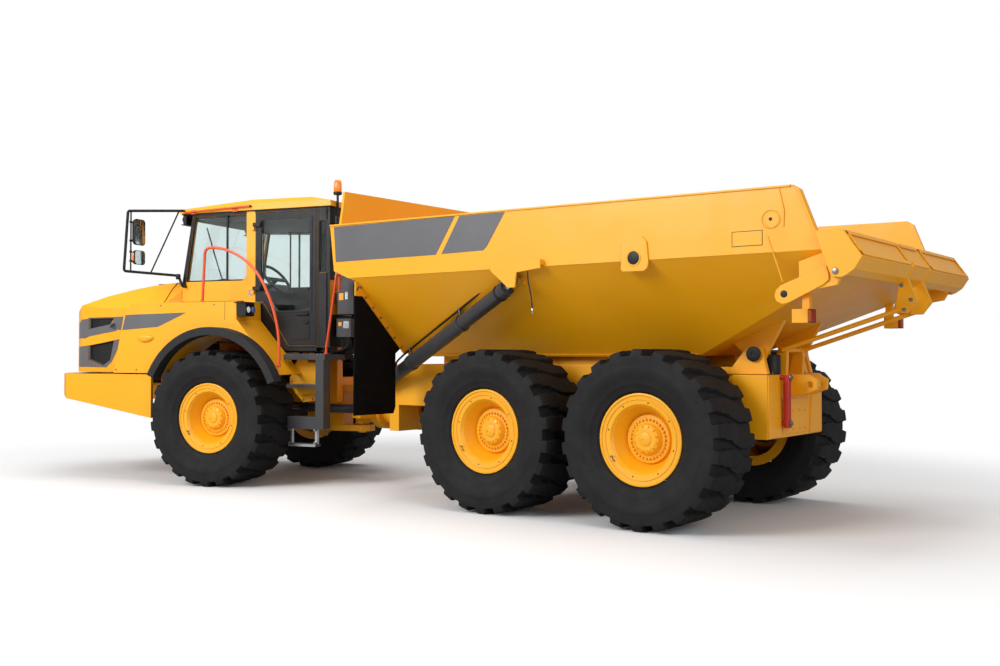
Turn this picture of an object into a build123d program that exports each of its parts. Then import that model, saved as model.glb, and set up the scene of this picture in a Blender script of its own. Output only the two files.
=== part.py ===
"""Articulated dump truck, six wheels, parked with its front unit steered a little to the left.

Millimetres. X runs rearward and Y to the truck's right, from the steering axis on the ground,
Z up. The front unit is drawn straight ahead and then turned to its parked angle.
"""
import os
from math import atan2, cos, degrees, hypot, radians, sin, sqrt, tan

from build123d import *

os.makedirs("parts", exist_ok=True)

# Layout
FRONT_AXLE_X = -1210
MIDDLE_AXLE_X = 2965
REAR_AXLE_X = 4635
TRACK = 2216
PARKED_STEER = 15.5
STEER_LIMIT = 45
ROLL_LIMIT = 15
SEAT_GAP = 0.3
RUNNING_GAP = 8

# Wheels
TYRE_RADIUS = 770
TYRE_WIDTH = 726
TREAD_DEPTH = 42
LUGS = 22
LUG_GROOVE = 92
SHOULDER_DROP = 95
RIM_RADIUS = 318
RIM_WALL = 16
RIM_WIDTH = 560
FLANGE_RADIUS = 396
FLANGE_THICKNESS = 16
DISH_DEPTH = 175
HUB_RADIUS = 205
HUB_CAP_RADIUS = 120
HUB_CAP_DEPTH = 85

# Axles and frames
AXLE_TUBE_RADIUS = 112
AXLE_BOWL_RADIUS = 235
RAIL_INNER_Y = 330
RAIL_OUTER_Y = 500
RAIL_BOTTOM_Z = 930
RAIL_TOP_Z = 1380
RAIL_FRONT_X = 950
RAIL_REAR_X = 5120
FRONT_RAIL_INNER_Y = 320
FRONT_RAIL_OUTER_Y = 440
FRONT_RAIL_BOTTOM_Z = 930
FRONT_RAIL_TOP_Z = 1130
HITCH_PIN_RADIUS = 48
HITCH_BOSS_RADIUS = 80
CLEVIS_PLATE = 75
CLEVIS_UPPER_Z = 1055
CLEVIS_LOWER_Z = 645
ROLL_AXIS_Z = 850
ROLL_TUBE_RADIUS = 170
BOGIE_PIVOT_X = (MIDDLE_AXLE_X + REAR_AXLE_X) / 2
BOGIE_INNER_Y = 550
BOGIE_OUTER_Y = 680

# Bed
BED_HALF_WIDTH = 1450
BED_WALL = 40
KNEE_Z = 2282
FLOOR_Z = 1480
FLOOR_HALF_WIDTH = 600
BED_TOP_FRONT = (950, 2850)
BED_TOP_REAR = (6015, 2792)
BED_TAIL_TOP = (6076, 2752)
BED_TAIL_FOOT = (6322, 2118)
BED_LIP = (1011, 2363)
BED_WALL_X = 1300
FLANGE_STANDS = 50
CHUTE_START_X = 4800
TIP_PIVOT = (5283, 1496)
TIP_LIMIT = 70
TIP_PIN_RADIUS = 45
HEADBOARD_TOP_Z = 3222
HEADBOARD_HALF_WIDTH = 1262

# Hoist cylinders: lower eye on the frame, upper eye on the bed
HOIST_FOOT = (1000, 600, 1200)
HOIST_EYE_HALF = 34
HOIST_EYE_RADIUS = 50
HOIST_EYE_Z = 2161
HOIST_EYE_CLEAR = 55.248
HULL_SLOPE_RUN = (BED_HALF_WIDTH - FLOOR_HALF_WIDTH) / (KNEE_Z - FLOOR_Z)
HOIST_EYE_Y = FLOOR_HALF_WIDTH + (HOIST_EYE_Z + HOIST_EYE_RADIUS - FLOOR_Z) * HULL_SLOPE_RUN + HOIST_EYE_CLEAR
HOIST_BOSS_INNER_Y = FLOOR_HALF_WIDTH + (HOIST_EYE_Z - FLOOR_Z) * HULL_SLOPE_RUN - 31
HOIST_EYE = (3364, HOIST_EYE_Y, HOIST_EYE_Z)
HOIST_BARREL_RADIUS = 73
HOIST_BORE_RADIUS = 62
HOIST_ROD_RADIUS = 42
HOIST_SOCKET_RADIUS = 44
# starts at, length, radius
HOIST_RINGS = [(560, 1100, 78), (1660, 22, 84), (540, 22, 84), (2450, 40, 78)]

# Steering cylinders: barrel eye on the yoke, rod eye on the front frame
STEER_BARREL_EYE = (350, 420)
STEER_ROD_EYE = (-950, 350)
STEER_CYLINDER_Z = 860
STEER_BARREL_RADIUS = 52
STEER_ROD_RADIUS = 27

# Tailgate
GATE_HINGE = (6360, 2110)
GATE_PIN_RADIUS = 26
GATE_EAR = 50
GATE_HALF_WIDTH = BED_HALF_WIDTH + GATE_EAR
GATE_TIP_X = 6560
LINK_FRAME_EYE = (5420, 1530)
LINK_GATE_EYE = (6440, 1862)
LINK_Y = 250
LINK_PIN_RADIUS = 20

# Front body
BUMPER_TOP_Z = 1257
BUMPER_HALF_WIDTH = 1300
BUMPER_REAR_X = -2085
BUMPER_WALL = 40
BUMPER_FRONT_X = -3974
BUMPER_CORNERS = [(-3360, 1300), (-3640, 1040), (-3850, 760), (BUMPER_FRONT_X, 450)]
HOOD_HINGE = (-3870, 1330)
HOOD_LIMIT = 60
HOOD_POST_Y = 170
HOOD_PIN_RADIUS = 18
HOOD_WALL = 30
HOOD_REAR_X = -2200
HOOD_HALF_WIDTH = 1020
FENDER_OUTER_Y = 1300
FENDER_INNER_Y = 822
FENDER_WALL = 25
SIDE_TANK_INNER_Y = 690
FENDER_FOOT_X = -330
ARCH_CENTRE = (-1170, 860)
ARCH_RADIUS = 855
FLARE_RADIUS = 940
FLARE_OUTER_Y = 1450

# Cab
CAB_HALF_WIDTH = 800
CAB_REAR_X = 20
CAB_FLOOR_Z = 1575
CAB_TOP_Z = 3190
CAB_WALL = 50
COWL_Z = 2125
DOOR_FRONT_X = -985
DOOR_REAR_X = -165
DOOR_TOP_Z = 3150
DOOR_FOOT_Z = 1600
DOOR_CUT = [(-985, 2112), (-880, 2112), (-530, 1600)]
DOOR_THICKNESS = 50
DOOR_LIMIT = 33
DOOR_HINGE = (-1003, -818)
DOOR_KNUCKLES = (2200, 2950)
ROOF_TOP_Z = 3318
ROOF_HALF_WIDTH = 830


def turned(x, y, angle=PARKED_STEER):
    """A plan point of the front unit, turned about the steering axis."""
    a = radians(angle)
    return x * cos(a) - y * sin(a), x * sin(a) + y * cos(a)


bumper_outline = [turned(x, s * y) for x, y in BUMPER_CORNERS for s in (-1, 1)]
ORIGIN_X = (min(x for x, y in bumper_outline) + GATE_TIP_X) / 2
ORIGIN_Y = (min(y for x, y in bumper_outline) + GATE_HALF_WIDTH + 20) / 2
TO_ORIGIN = Location((-ORIGIN_X, -ORIGIN_Y, 0))


def placed(piece):
    """A rear-unit piece, moved so that the origin is under the whole truck's middle."""
    return piece.moved(TO_ORIGIN)


def parked(piece):
    """A front-unit piece, turned to the parked steering angle and moved with the rest."""
    return piece.rotate(Axis.Z, PARKED_STEER).moved(TO_ORIGIN)


def side_prism(points, y_from, y_to, mode=Mode.ADD):
    """A side outline (x, z) given width from one Y to another."""
    with BuildSketch(Plane.XZ.offset(-y_to)) as outline:
        with BuildLine():
            Polyline(*points, close=True)
        make_face()
    extrude(outline.sketch, amount=y_to - y_from, mode=mode)


def plan_prism(points, z_from, z_to, mode=Mode.ADD):
    """A plan outline (x, y) given height from one Z to another."""
    with BuildSketch(Plane.XY.offset(z_from)) as outline:
        with BuildLine():
            Polyline(*points, close=True)
        make_face()
    extrude(outline.sketch, amount=z_to - z_from, mode=mode)


def end_prism(points, x_from, x_to, mode=Mode.ADD):
    """A rear-view outline (y, z) given length from one X to another."""
    with BuildSketch(Plane.YZ.offset(x_from)) as outline:
        with BuildLine():
            Polyline(*points, close=True)
        make_face()
    extrude(outline.sketch, amount=x_to - x_from, mode=mode)


def block(x_from, x_to, y_from, y_to, z_from, z_to, mode=Mode.ADD):
    """A rectangular block between two values of each axis."""
    corners = [(x_from, y_from), (x_to, y_from), (x_to, y_to), (x_from, y_to)]
    plan_prism(corners, z_from, z_to, mode)


def bar(start, end, radius, mode=Mode.ADD):
    """A round bar from one point to another."""
    run = Vector(*end) - Vector(*start)
    with BuildSketch(Plane(origin=start, z_dir=run)) as section:
        Circle(radius)
    extrude(section.sketch, amount=run.length, mode=mode)


def cross_bar(x, z, y_from, y_to, radius, mode=Mode.ADD):
    """A round bar along Y."""
    bar((x, y_from, z), (x, y_to, z), radius, mode)


def bent_tube(points, bend, radius):
    """A round tube along straight runs joined by arcs of one radius."""
    with BuildLine() as route:
        FilletPolyline(*points, radius=bend)
    start = Vector(*points[0])
    heading = Vector(*points[1]) - start
    with BuildSketch(Plane(origin=points[0], z_dir=heading)) as section:
        Circle(radius)
    sweep(section.sketch, path=route.wire())


# Tyre: a body with a square shoulder, cut by staggered shoulder grooves
half_tyre = TYRE_WIDTH / 2
with BuildPart() as tyre_form:
    with BuildSketch(Plane.XY) as tyre_section:
        with BuildLine():
            Polyline(
                (RIM_RADIUS + SEAT_GAP, RIM_WIDTH / 2 - FLANGE_THICKNESS - SEAT_GAP),
                (FLANGE_RADIUS + 4, RIM_WIDTH / 2 - FLANGE_THICKNESS - SEAT_GAP),
                (FLANGE_RADIUS + 30, RIM_WIDTH / 2 + 22),
                (540, half_tyre - 8),
                (615, half_tyre),
                (TYRE_RADIUS - SHOULDER_DROP, half_tyre - 6),
                (TYRE_RADIUS - 14, half_tyre - 22),
                (TYRE_RADIUS, half_tyre - 70),
                (TYRE_RADIUS, 0),
                (RIM_RADIUS + SEAT_GAP, 0),
                close=True,
            )
        make_face()
    revolve(axis=Axis.Y)
    mirror(about=Plane.XZ)
    groove_root = TYRE_RADIUS - TREAD_DEPTH
    with BuildSketch(Plane.XZ.offset(-half_tyre - 1)) as outer_grooves:
        with PolarLocations((groove_root + TYRE_RADIUS + 10) / 2, LUGS):
            Rectangle(TYRE_RADIUS + 10 - groove_root, LUG_GROOVE)
    extrude(outer_grooves.sketch, amount=half_tyre - 70, mode=Mode.SUBTRACT)
    with BuildSketch(Plane.XZ.offset(half_tyre + 1)) as inner_grooves:
        with PolarLocations((groove_root + TYRE_RADIUS + 10) / 2, LUGS, start_angle=180 / LUGS):
            Rectangle(TYRE_RADIUS + 10 - groove_root, LUG_GROOVE)
    extrude(inner_grooves.sketch, amount=-(half_tyre - 70), mode=Mode.SUBTRACT)

# Rim: barrel with two flanges, a deep cone and the hub with its round cap. +Y is outboard
half_rim = RIM_WIDTH / 2
dish_y = half_rim - DISH_DEPTH
with BuildPart() as rim_form:
    with BuildSketch(Plane.XY) as rim_section:
        with BuildLine():
            Polyline(
                (FLANGE_RADIUS, half_rim),
                (RIM_RADIUS - RIM_WALL, half_rim - 12),
                (RIM_RADIUS - RIM_WALL - 22, half_rim - 40),
                (HUB_RADIUS + 12, dish_y),
                (HUB_RADIUS, dish_y + 30),
                (HUB_CAP_RADIUS + 22, dish_y + 38),
                (HUB_CAP_RADIUS, dish_y + HUB_CAP_DEPTH - 12),
                (HUB_CAP_RADIUS - 25, dish_y + HUB_CAP_DEPTH),
                (0, dish_y + HUB_CAP_DEPTH),
                (0, dish_y - 40),
                (HUB_RADIUS + 20, dish_y - 40),
                (RIM_RADIUS - RIM_WALL, half_rim - 70),
                (RIM_RADIUS - RIM_WALL, 12 - half_rim),
                (FLANGE_RADIUS, -half_rim),
                (FLANGE_RADIUS, FLANGE_THICKNESS - half_rim),
                (RIM_RADIUS, FLANGE_THICKNESS - half_rim),
                (RIM_RADIUS, half_rim - FLANGE_THICKNESS),
                (FLANGE_RADIUS, half_rim - FLANGE_THICKNESS),
                close=True,
            )
        make_face()
    revolve(axis=Axis.Y)

# name, axle's x, side of the truck, on the front unit
WHEELS = [
    ("front_left", FRONT_AXLE_X, -1, True),
    ("front_right", FRONT_AXLE_X, 1, True),
    ("middle_left", MIDDLE_AXLE_X, -1, False),
    ("middle_right", MIDDLE_AXLE_X, 1, False),
    ("rear_left", REAR_AXLE_X, -1, False),
    ("rear_right", REAR_AXLE_X, 1, False),
]
for name, axle_x, side, on_front in WHEELS:
    where = Plane(origin=(axle_x, side * TRACK / 2, TYRE_RADIUS), x_dir=(side, 0, 0), z_dir=(0, 0, 1))
    put = parked if on_front else placed
    with BuildPart() as tyre:
        add(where.location * tyre_form.part)
    tyre.part = put(tyre.part)
    tyre.part.label = f"tyre_{name}"
    export_step(tyre.part, f"parts/tyre_{name}.step")
    with BuildPart() as rim:
        add(where.location * rim_form.part)
    rim.part = put(rim.part)
    rim.part.label = f"rim_{name}"
    export_step(rim.part, f"parts/rim_{name}.step")

# Axles: a tube with a bowl for the gears and a flange inside each wheel
hub_face_y = TRACK / 2 + dish_y - 40
AXLES = [("front_axle", FRONT_AXLE_X, True), ("middle_axle", MIDDLE_AXLE_X, False),
         ("rear_axle", REAR_AXLE_X, False)]
for name, axle_x, on_front in AXLES:
    with BuildPart() as axle:
        with BuildSketch(Plane.XY) as axle_section:
            with BuildLine():
                Polyline(
                    (0, -hub_face_y + SEAT_GAP),
                    (180, -hub_face_y + SEAT_GAP),
                    (180, -hub_face_y + 60),
                    (AXLE_TUBE_RADIUS, -hub_face_y + 150),
                    (AXLE_TUBE_RADIUS, -300),
                    (AXLE_BOWL_RADIUS, -120),
                    (AXLE_BOWL_RADIUS, 120),
                    (AXLE_TUBE_RADIUS, 300),
                    (AXLE_TUBE_RADIUS, hub_face_y - 150),
                    (180, hub_face_y - 60),
                    (180, hub_face_y - SEAT_GAP),
                    (0, hub_face_y - SEAT_GAP),
                    close=True,
                )
            make_face()
        revolve(axis=Axis.Y)
    put = parked if on_front else placed
    axle.part = put(axle.part.moved(Location((axle_x, 0, TYRE_RADIUS))))
    axle.part.label = name
    export_step(axle.part, f"parts/{name}.step")

# Rear frame: two rails, front plate with the roll housing, crossmembers, ears of the tip pivot
HOUSING_FRONT_X = 600
axle_top_z = TYRE_RADIUS + AXLE_TUBE_RADIUS
ear_inner_y = 345
lug_inner_y = 410
lug_outer_y = 460
with BuildPart() as rear_frame:
    for side in (-1, 1):
        low, high = sorted((side * RAIL_INNER_Y, side * RAIL_OUTER_Y))
        block(RAIL_FRONT_X, RAIL_REAR_X, low, high, RAIL_BOTTOM_Z, RAIL_TOP_Z)
        for ear_from, ear_to in ((ear_inner_y, lug_inner_y - RUNNING_GAP),
                                 (lug_outer_y + RUNNING_GAP, lug_outer_y + RUNNING_GAP + 55)):
            low, high = sorted((side * ear_from, side * ear_to))
            ear = [(TIP_PIVOT[0] - 260, RAIL_TOP_Z - 60), (TIP_PIVOT[0] - 75, TIP_PIVOT[1] + 55),
                   (TIP_PIVOT[0] + 60, TIP_PIVOT[1] + 60), (TIP_PIVOT[0] + 120, RAIL_TOP_Z - 60)]
            side_prism(ear, low, high)
        low, high = sorted((side * ear_inner_y, side * (lug_outer_y + RUNNING_GAP + 75)))
        cross_bar(TIP_PIVOT[0], TIP_PIVOT[1], low, high, TIP_PIN_RADIUS)
        low, high = sorted((side * RAIL_OUTER_Y, side * (HOIST_FOOT[1] + 62)))
        cross_bar(HOIST_FOOT[0], HOIST_FOOT[2], low, high, 30)
        with Locations((HOIST_FOOT[0], side * HOIST_FOOT[1], HOIST_FOOT[2])):
            Sphere(HOIST_SOCKET_RADIUS - 0.5)
        low, high = sorted((side * RAIL_OUTER_Y, side * (BOGIE_INNER_Y - SEAT_GAP)))
        cross_bar(BOGIE_PIVOT_X, 1040, low, high, 90)
        low, high = sorted((side * (RAIL_INNER_Y + 20), side * (RAIL_OUTER_Y - 20)))
        block(1700, 4700, low, high, RAIL_TOP_Z, FLOOR_Z - SEAT_GAP)
    block(RAIL_FRONT_X - 30, RAIL_FRONT_X + 110, -RAIL_OUTER_Y, RAIL_OUTER_Y, 640, RAIL_TOP_Z)
    bar((HOUSING_FRONT_X, 0, ROLL_AXIS_Z), (RAIL_FRONT_X + 60, 0, ROLL_AXIS_Z), ROLL_TUBE_RADIUS + 60)
    bar((HOUSING_FRONT_X - 1, 0, ROLL_AXIS_Z), (RAIL_FRONT_X + 120, 0, ROLL_AXIS_Z),
        ROLL_TUBE_RADIUS + 1, Mode.SUBTRACT)
rear_frame.part = placed(rear_frame.part)
rear_frame.part.label = "rear_frame"
export_step(rear_frame.part, "parts/rear_frame.step")

# Crossmembers between the rails, and the rear one with the two tow lugs
CROSSMEMBERS_X = (1900, BOGIE_PIVOT_X - 90, 4750)
CROSSMEMBER_LENGTH = 180
TOW_LUG_HOLE = (5632, 1225)
TOW_HOLE_RADIUS = 28
TOW_LUG_Y = 110
TOW_LUG_THICKNESS = 60
with BuildPart() as rear_crossmember:
    for cross_x in CROSSMEMBERS_X:
        block(cross_x, cross_x + CROSSMEMBER_LENGTH, SEAT_GAP - RAIL_INNER_Y, RAIL_INNER_Y - SEAT_GAP,
              RAIL_BOTTOM_Z + 60, RAIL_TOP_Z - 60)
    block(RAIL_REAR_X + SEAT_GAP, 5440, -620, 620, 760, RAIL_TOP_Z - 65)
    for side in (-1, 1):
        low, high = sorted((side * (TOW_LUG_Y - TOW_LUG_THICKNESS / 2), side * (TOW_LUG_Y + TOW_LUG_THICKNESS / 2)))
        lug = [(5400, 1120), (5560, 1130), (5690, 1180), (5700, 1270), (5620, 1315), (5400, 1315)]
        side_prism(lug, low, high)
        cross_bar(TOW_LUG_HOLE[0], TOW_LUG_HOLE[1], low - 1, high + 1, TOW_HOLE_RADIUS, Mode.SUBTRACT)
    link_x, link_z = LINK_FRAME_EYE
    for side in (-1, 1):
        low, high = sorted((side * (LINK_Y - 90), side * (LINK_Y - 40)))
        ear = [(link_x - 110, 1300), (link_x - 55, link_z + 10), (link_x - 30, link_z + 30), (link_x, link_z + 30),
               (link_x + 24, link_z + 2), (link_x + 30, link_z - 60), (link_x + 20, 1300)]
        side_prism(ear, low, high)
        cross_bar(link_x, link_z, low - 1, high + 1, LINK_PIN_RADIUS + 1, Mode.SUBTRACT)
rear_crossmember.part = placed(rear_crossmember.part)
rear_crossmember.part.label = "rear_crossmember"
export_step(rear_crossmember.part, "parts/rear_crossmember.step")

# Red lock bar, pinned by both ends to the back of the crossmember
LOCK_BAR_Y = -330
with BuildPart() as lock_bar:
    for foot_z in (1330 - 40, 890):
        bar((5440 + SEAT_GAP, LOCK_BAR_Y, foot_z), (5520, LOCK_BAR_Y, foot_z), 22)
    bar((5500, LOCK_BAR_Y, 850), (5500, LOCK_BAR_Y, 1310), 34)
lock_bar.part = placed(lock_bar.part)
lock_bar.part.label = "lock_bar"
export_step(lock_bar.part, "parts/lock_bar.step")

# Walking beams on their trunnions, resting on the axle tubes
with BuildPart() as bogie_beams:
    for side in (-1, 1):
        low, high = sorted((side * BOGIE_INNER_Y, side * BOGIE_OUTER_Y))
        beam = [(MIDDLE_AXLE_X - 150, axle_top_z + 0.3), (REAR_AXLE_X + 150, axle_top_z + 0.3),
                (REAR_AXLE_X + 150, 960), (BOGIE_PIVOT_X + 160, 1170), (BOGIE_PIVOT_X - 160, 1170),
                (MIDDLE_AXLE_X - 150, 960)]
        side_prism(beam, low, high)
bogie_beams.part = placed(bogie_beams.part)
bogie_beams.part.label = "bogie_beams"
export_step(bogie_beams.part, "parts/bogie_beams.step")

# Hitch yoke: steering knuckle, flange with two arms, and the roll tube
knuckle_bottom = CLEVIS_LOWER_Z + RUNNING_GAP
knuckle_top = CLEVIS_UPPER_Z - RUNNING_GAP
with BuildPart() as hitch_yoke:
    bar((0, 0, knuckle_bottom), (0, 0, knuckle_top), HITCH_BOSS_RADIUS)
    block(0, 360, -85, 85, knuckle_bottom + 30, knuckle_top - 30)
    bar((340, 0, ROLL_AXIS_Z), (480, 0, ROLL_AXIS_Z), 235)
    bar((480, 0, ROLL_AXIS_Z), (RAIL_FRONT_X + 40, 0, ROLL_AXIS_Z), ROLL_TUBE_RADIUS)
    arm_top = STEER_CYLINDER_Z - 50 - RUNNING_GAP / 2
    block(300, 440, -STEER_BARREL_EYE[1] - 60, STEER_BARREL_EYE[1] + 60, arm_top - 50, arm_top)
    for side in (-1, 1):
        eye_y = side * STEER_BARREL_EYE[1]
        bar((STEER_BARREL_EYE[0], eye_y, arm_top - 10), (STEER_BARREL_EYE[0], eye_y, arm_top + 115), 26)
    bar((0, 0, knuckle_bottom - 1), (0, 0, knuckle_top + 1), HITCH_PIN_RADIUS + 1, Mode.SUBTRACT)
hitch_yoke.part = placed(hitch_yoke.part)
hitch_yoke.part.label = "hitch_yoke"
export_step(hitch_yoke.part, "parts/hitch_yoke.step")

# Bed: the load space is taken out of the outer form
slope = atan2(KNEE_Z - FLOOR_Z, BED_HALF_WIDTH - FLOOR_HALF_WIDTH)
chute_angle = atan2(BED_TAIL_FOOT[1] - FLOOR_Z, BED_TAIL_FOOT[0] - CHUTE_START_X)


def bed_form(inset, open_by):
    """The bed's form, moved in by a wall thickness, its top and tail carried past by a length."""
    side_y = BED_HALF_WIDTH - inset
    knee_z = KNEE_Z + inset * cos(slope) - inset * (1 - sin(slope)) * tan(slope)
    floor_y = FLOOR_HALF_WIDTH - inset * tan(slope / 2)
    floor_z = FLOOR_Z + inset
    top_z = BED_TOP_FRONT[1] + open_by
    half = [(side_y, top_z), (side_y, knee_z), (floor_y, floor_z)]
    section = half + [(-y, z) for y, z in reversed(half)]
    chute_x = CHUTE_START_X - inset * tan(chute_angle / 2)
    tail_x = BED_TAIL_FOOT[0] + open_by
    tail_z = floor_z + (tail_x - chute_x) * tan(chute_angle)
    rear_shift = open_by
    outline = [
        (BED_TOP_FRONT[0] + inset, BED_TOP_FRONT[1] + open_by),
        (BED_LIP[0] + inset, BED_LIP[1] + inset * 0.65),
        (BED_WALL_X + inset, 2250 + inset * 0.65),
        (BED_WALL_X + inset, floor_z),
        (chute_x, floor_z),
        (tail_x, tail_z),
        (BED_TAIL_TOP[0] + rear_shift, BED_TAIL_TOP[1] + open_by),
        (BED_TOP_REAR[0] + rear_shift, BED_TOP_REAR[1] + open_by),
    ]
    with BuildPart() as form:
        end_prism(section, 500, 8000)
        side_prism(outline, -2000, 2000, Mode.INTERSECT)
    return form.part


outer_form = bed_form(0, 0)
load_space = bed_form(BED_WALL, 600)
with BuildPart() as bed:
    add(outer_form)
    add(load_space, mode=Mode.SUBTRACT)
    for side in (-1, 1):
        low, high = sorted((side * lug_inner_y, side * lug_outer_y))
        lug = [(TIP_PIVOT[0] - 240, FLOOR_Z + (TIP_PIVOT[0] - 240 - CHUTE_START_X) * tan(chute_angle) + 20),
               (TIP_PIVOT[0] - 60, TIP_PIVOT[1] - 50), (TIP_PIVOT[0] + 60, TIP_PIVOT[1] - 50),
               (TIP_PIVOT[0] + 260, FLOOR_Z + (TIP_PIVOT[0] + 260 - CHUTE_START_X) * tan(chute_angle) + 20)]
        side_prism(lug, low, high)
        cross_bar(TIP_PIVOT[0], TIP_PIVOT[1], low - 1, high + 1, TIP_PIN_RADIUS + 1, Mode.SUBTRACT)
        low, high = sorted((side * HOIST_BOSS_INNER_Y, side * (HOIST_EYE[1] - 75)))
        cross_bar(HOIST_EYE[0], HOIST_EYE[2], low, high, 38)
        low, high = sorted((side * (BED_HALF_WIDTH - 40), side * BED_HALF_WIDTH))
        hinge_x, hinge_z = GATE_HINGE
        horn = [(6060, 2040), (6200, 1985), (hinge_x - 10, hinge_z - 100), (hinge_x + 30, hinge_z - 30),
                (hinge_x + 38, hinge_z + 10), (hinge_x + 15, hinge_z + 42), (6250, 2260), (6060, 2200)]
        side_prism(horn, low, high)
        low, high = sorted((side * (BED_HALF_WIDTH - 40), side * (GATE_HALF_WIDTH + 4)))
        cross_bar(hinge_x, hinge_z, low, high, GATE_PIN_RADIUS)
        run_y, run_z = cos(slope), sin(slope)
        foot_y, foot_z = FLOOR_HALF_WIDTH + 60 * run_y, FLOOR_Z + 60 * run_z
        shoulder_z, strip_top_z = 2095, 2245
        outer_y, outer_z = foot_y + FLANGE_STANDS * run_z, foot_z - FLANGE_STANDS * run_y
        inner_y, inner_z = foot_y - 10 * run_z, foot_z + 10 * run_y
        strip = [(inner_y, inner_z), (outer_y, outer_z),
                 (outer_y + (shoulder_z - outer_z) / tan(slope), shoulder_z),
                 (BED_HALF_WIDTH - 14, shoulder_z), (BED_HALF_WIDTH - 14, strip_top_z),
                 (inner_y + (strip_top_z - inner_z) / tan(slope), strip_top_z)]
        end_prism([(side * y, z) for y, z in strip], BED_WALL_X, BED_WALL_X + 14)
        low, high = sorted((side * (BED_HALF_WIDTH - 5), side * (BED_HALF_WIDTH + 4)))
        cross_bar(5853, 2533, low, high, 62)
        plate_y = HOIST_EYE[1] + HOIST_EYE_HALF + 26
        low, high = sorted((side * plate_y, side * (plate_y + 18)))
        gusset = [(3130, KNEE_Z + 60), (3690, KNEE_Z + 60), (3690, KNEE_Z - 20), (3425, 2235), (3410, 2100),
                  (3330, 2100), (3130, KNEE_Z - 20)]
        side_prism(gusset, low, high)
        low, high = sorted((side * (BED_HALF_WIDTH - 10), side * (plate_y + 4)))
        block(3130, 3690, low, high, KNEE_Z + 10, KNEE_Z + 60)
bed.part = placed(bed.part)
bed.part.label = "bed"
export_step(bed.part, "parts/bed.step")

# Headboard that stands on the bed's front wall and shields the cab
with BuildPart() as headboard:
    board = [(-HEADBOARD_HALF_WIDTH, HEADBOARD_TOP_Z), (HEADBOARD_HALF_WIDTH, HEADBOARD_TOP_Z),
             (HEADBOARD_HALF_WIDTH + 60, BED_TOP_FRONT[1] + SEAT_GAP),
             (-HEADBOARD_HALF_WIDTH - 60, BED_TOP_FRONT[1] + SEAT_GAP)]
    end_prism(board, BED_TOP_FRONT[0] + 2, BED_TOP_FRONT[0] + 32)
headboard.part = placed(headboard.part)
headboard.part.label = "headboard"
export_step(headboard.part, "parts/headboard.step")

# Rubber flaps hung from the bed's front corners, ahead of the middle wheels
FLAP_X = BED_WALL_X - 14
FLAP_INNER_Y = 815
FLAP_OUTER_Y = BED_HALF_WIDTH - 10
with BuildPart() as flaps:
    for side in (-1, 1):
        flap = [(side * y, z) for y, z in ((FLAP_OUTER_Y - 15, 2222), (FLAP_OUTER_Y, 860), (FLAP_INNER_Y + 30, 860),
                                           (FLAP_INNER_Y, 930), (FLAP_INNER_Y, 1500), (FLAP_INNER_Y - 130, 1590),
                                           (FLAP_OUTER_Y - 120, 2222))]
        end_prism(flap, FLAP_X, BED_WALL_X - SEAT_GAP)
flaps.part = placed(flaps.part)
flaps.part.label = "flaps"
export_step(flaps.part, "parts/flaps.step")

# Tailgate: a folded lip behind the chute's end, an ear outside each wall, two arms below
gate_x, gate_z = GATE_HINGE
with BuildPart() as tailgate:
    fold = [(6262, 2418), (6414, 2417), (GATE_TIP_X, 2211), (6500, 2120), (6440, 2078), (6416, 2110), (6300, 2380)]
    side_prism(fold, -GATE_HALF_WIDTH, GATE_HALF_WIDTH)
    for side in (-1, 1):
        low, high = sorted((side * (BED_HALF_WIDTH - 50), side * (BED_HALF_WIDTH + RUNNING_GAP)))
        cross_bar(gate_x, gate_z, low, high, 68, Mode.SUBTRACT)
    for side in (-1, 1):
        low, high = sorted((side * (BED_HALF_WIDTH + RUNNING_GAP), side * GATE_HALF_WIDTH))
        ear = [(6198, 2422), (6414, 2417), (6461, 2357), (6520, 2200), (6440, 2078), (gate_x + 40, gate_z - 47),
               (gate_x - 25, gate_z - 40), (gate_x - 47, gate_z)]
        side_prism(ear, low, high)
        cross_bar(gate_x, gate_z, low - 1, high + 1, GATE_PIN_RADIUS + 1, Mode.SUBTRACT)
        low, high = sorted((side * (LINK_Y - 30), side * (LINK_Y - 60)))
        arm = [(6432, 2100), (6500, 2125), (6578, 1934), (6500, 1835), (6400, 1835), (6400, 1900)]
        side_prism(arm, low, high)
tailgate.part = placed(tailgate.part)
tailgate.part.label = "tailgate"
export_step(tailgate.part, "parts/tailgate.step")

# Drive links of the tailgate, pinned on the frame's rear end
with BuildPart() as gate_links:
    for side in (-1, 1):
        bar((LINK_FRAME_EYE[0], side * LINK_Y, LINK_FRAME_EYE[1]), (LINK_GATE_EYE[0], side * LINK_Y, LINK_GATE_EYE[1]), 20)
    cross_bar(LINK_FRAME_EYE[0], LINK_FRAME_EYE[1], -LINK_Y, LINK_Y, LINK_PIN_RADIUS)
gate_links.part = placed(gate_links.part)
gate_links.part.label = "gate_links"
export_step(gate_links.part, "parts/gate_links.step")


# Cylinders: lengths along the line from the barrel's eye to the rod's eye
def barrel_form(start, end, near, length, outer, bore, gland, rod_radius):
    """A closed-bottom tube on the line between two eyes, from near to near plus length."""
    direction = (Vector(*end) - Vector(*start)).normalized()
    foot = Vector(*start) + direction * near
    mouth = foot + direction * length
    bottom = foot + direction * 30
    inner = mouth - direction * gland
    bar(foot, mouth, outer)
    bar(bottom, inner, bore, Mode.SUBTRACT)
    bar(inner - direction, mouth + direction, rod_radius + 1, Mode.SUBTRACT)


def rod_form(start, end, near, piston, bore, rod_radius):
    """A rod with its piston on the line between two eyes, from near to the far eye."""
    direction = (Vector(*end) - Vector(*start)).normalized()
    foot = Vector(*start) + direction * near
    bar(foot, foot + direction * piston, bore - 1)
    bar(foot, Vector(*end), rod_radius)


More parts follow.
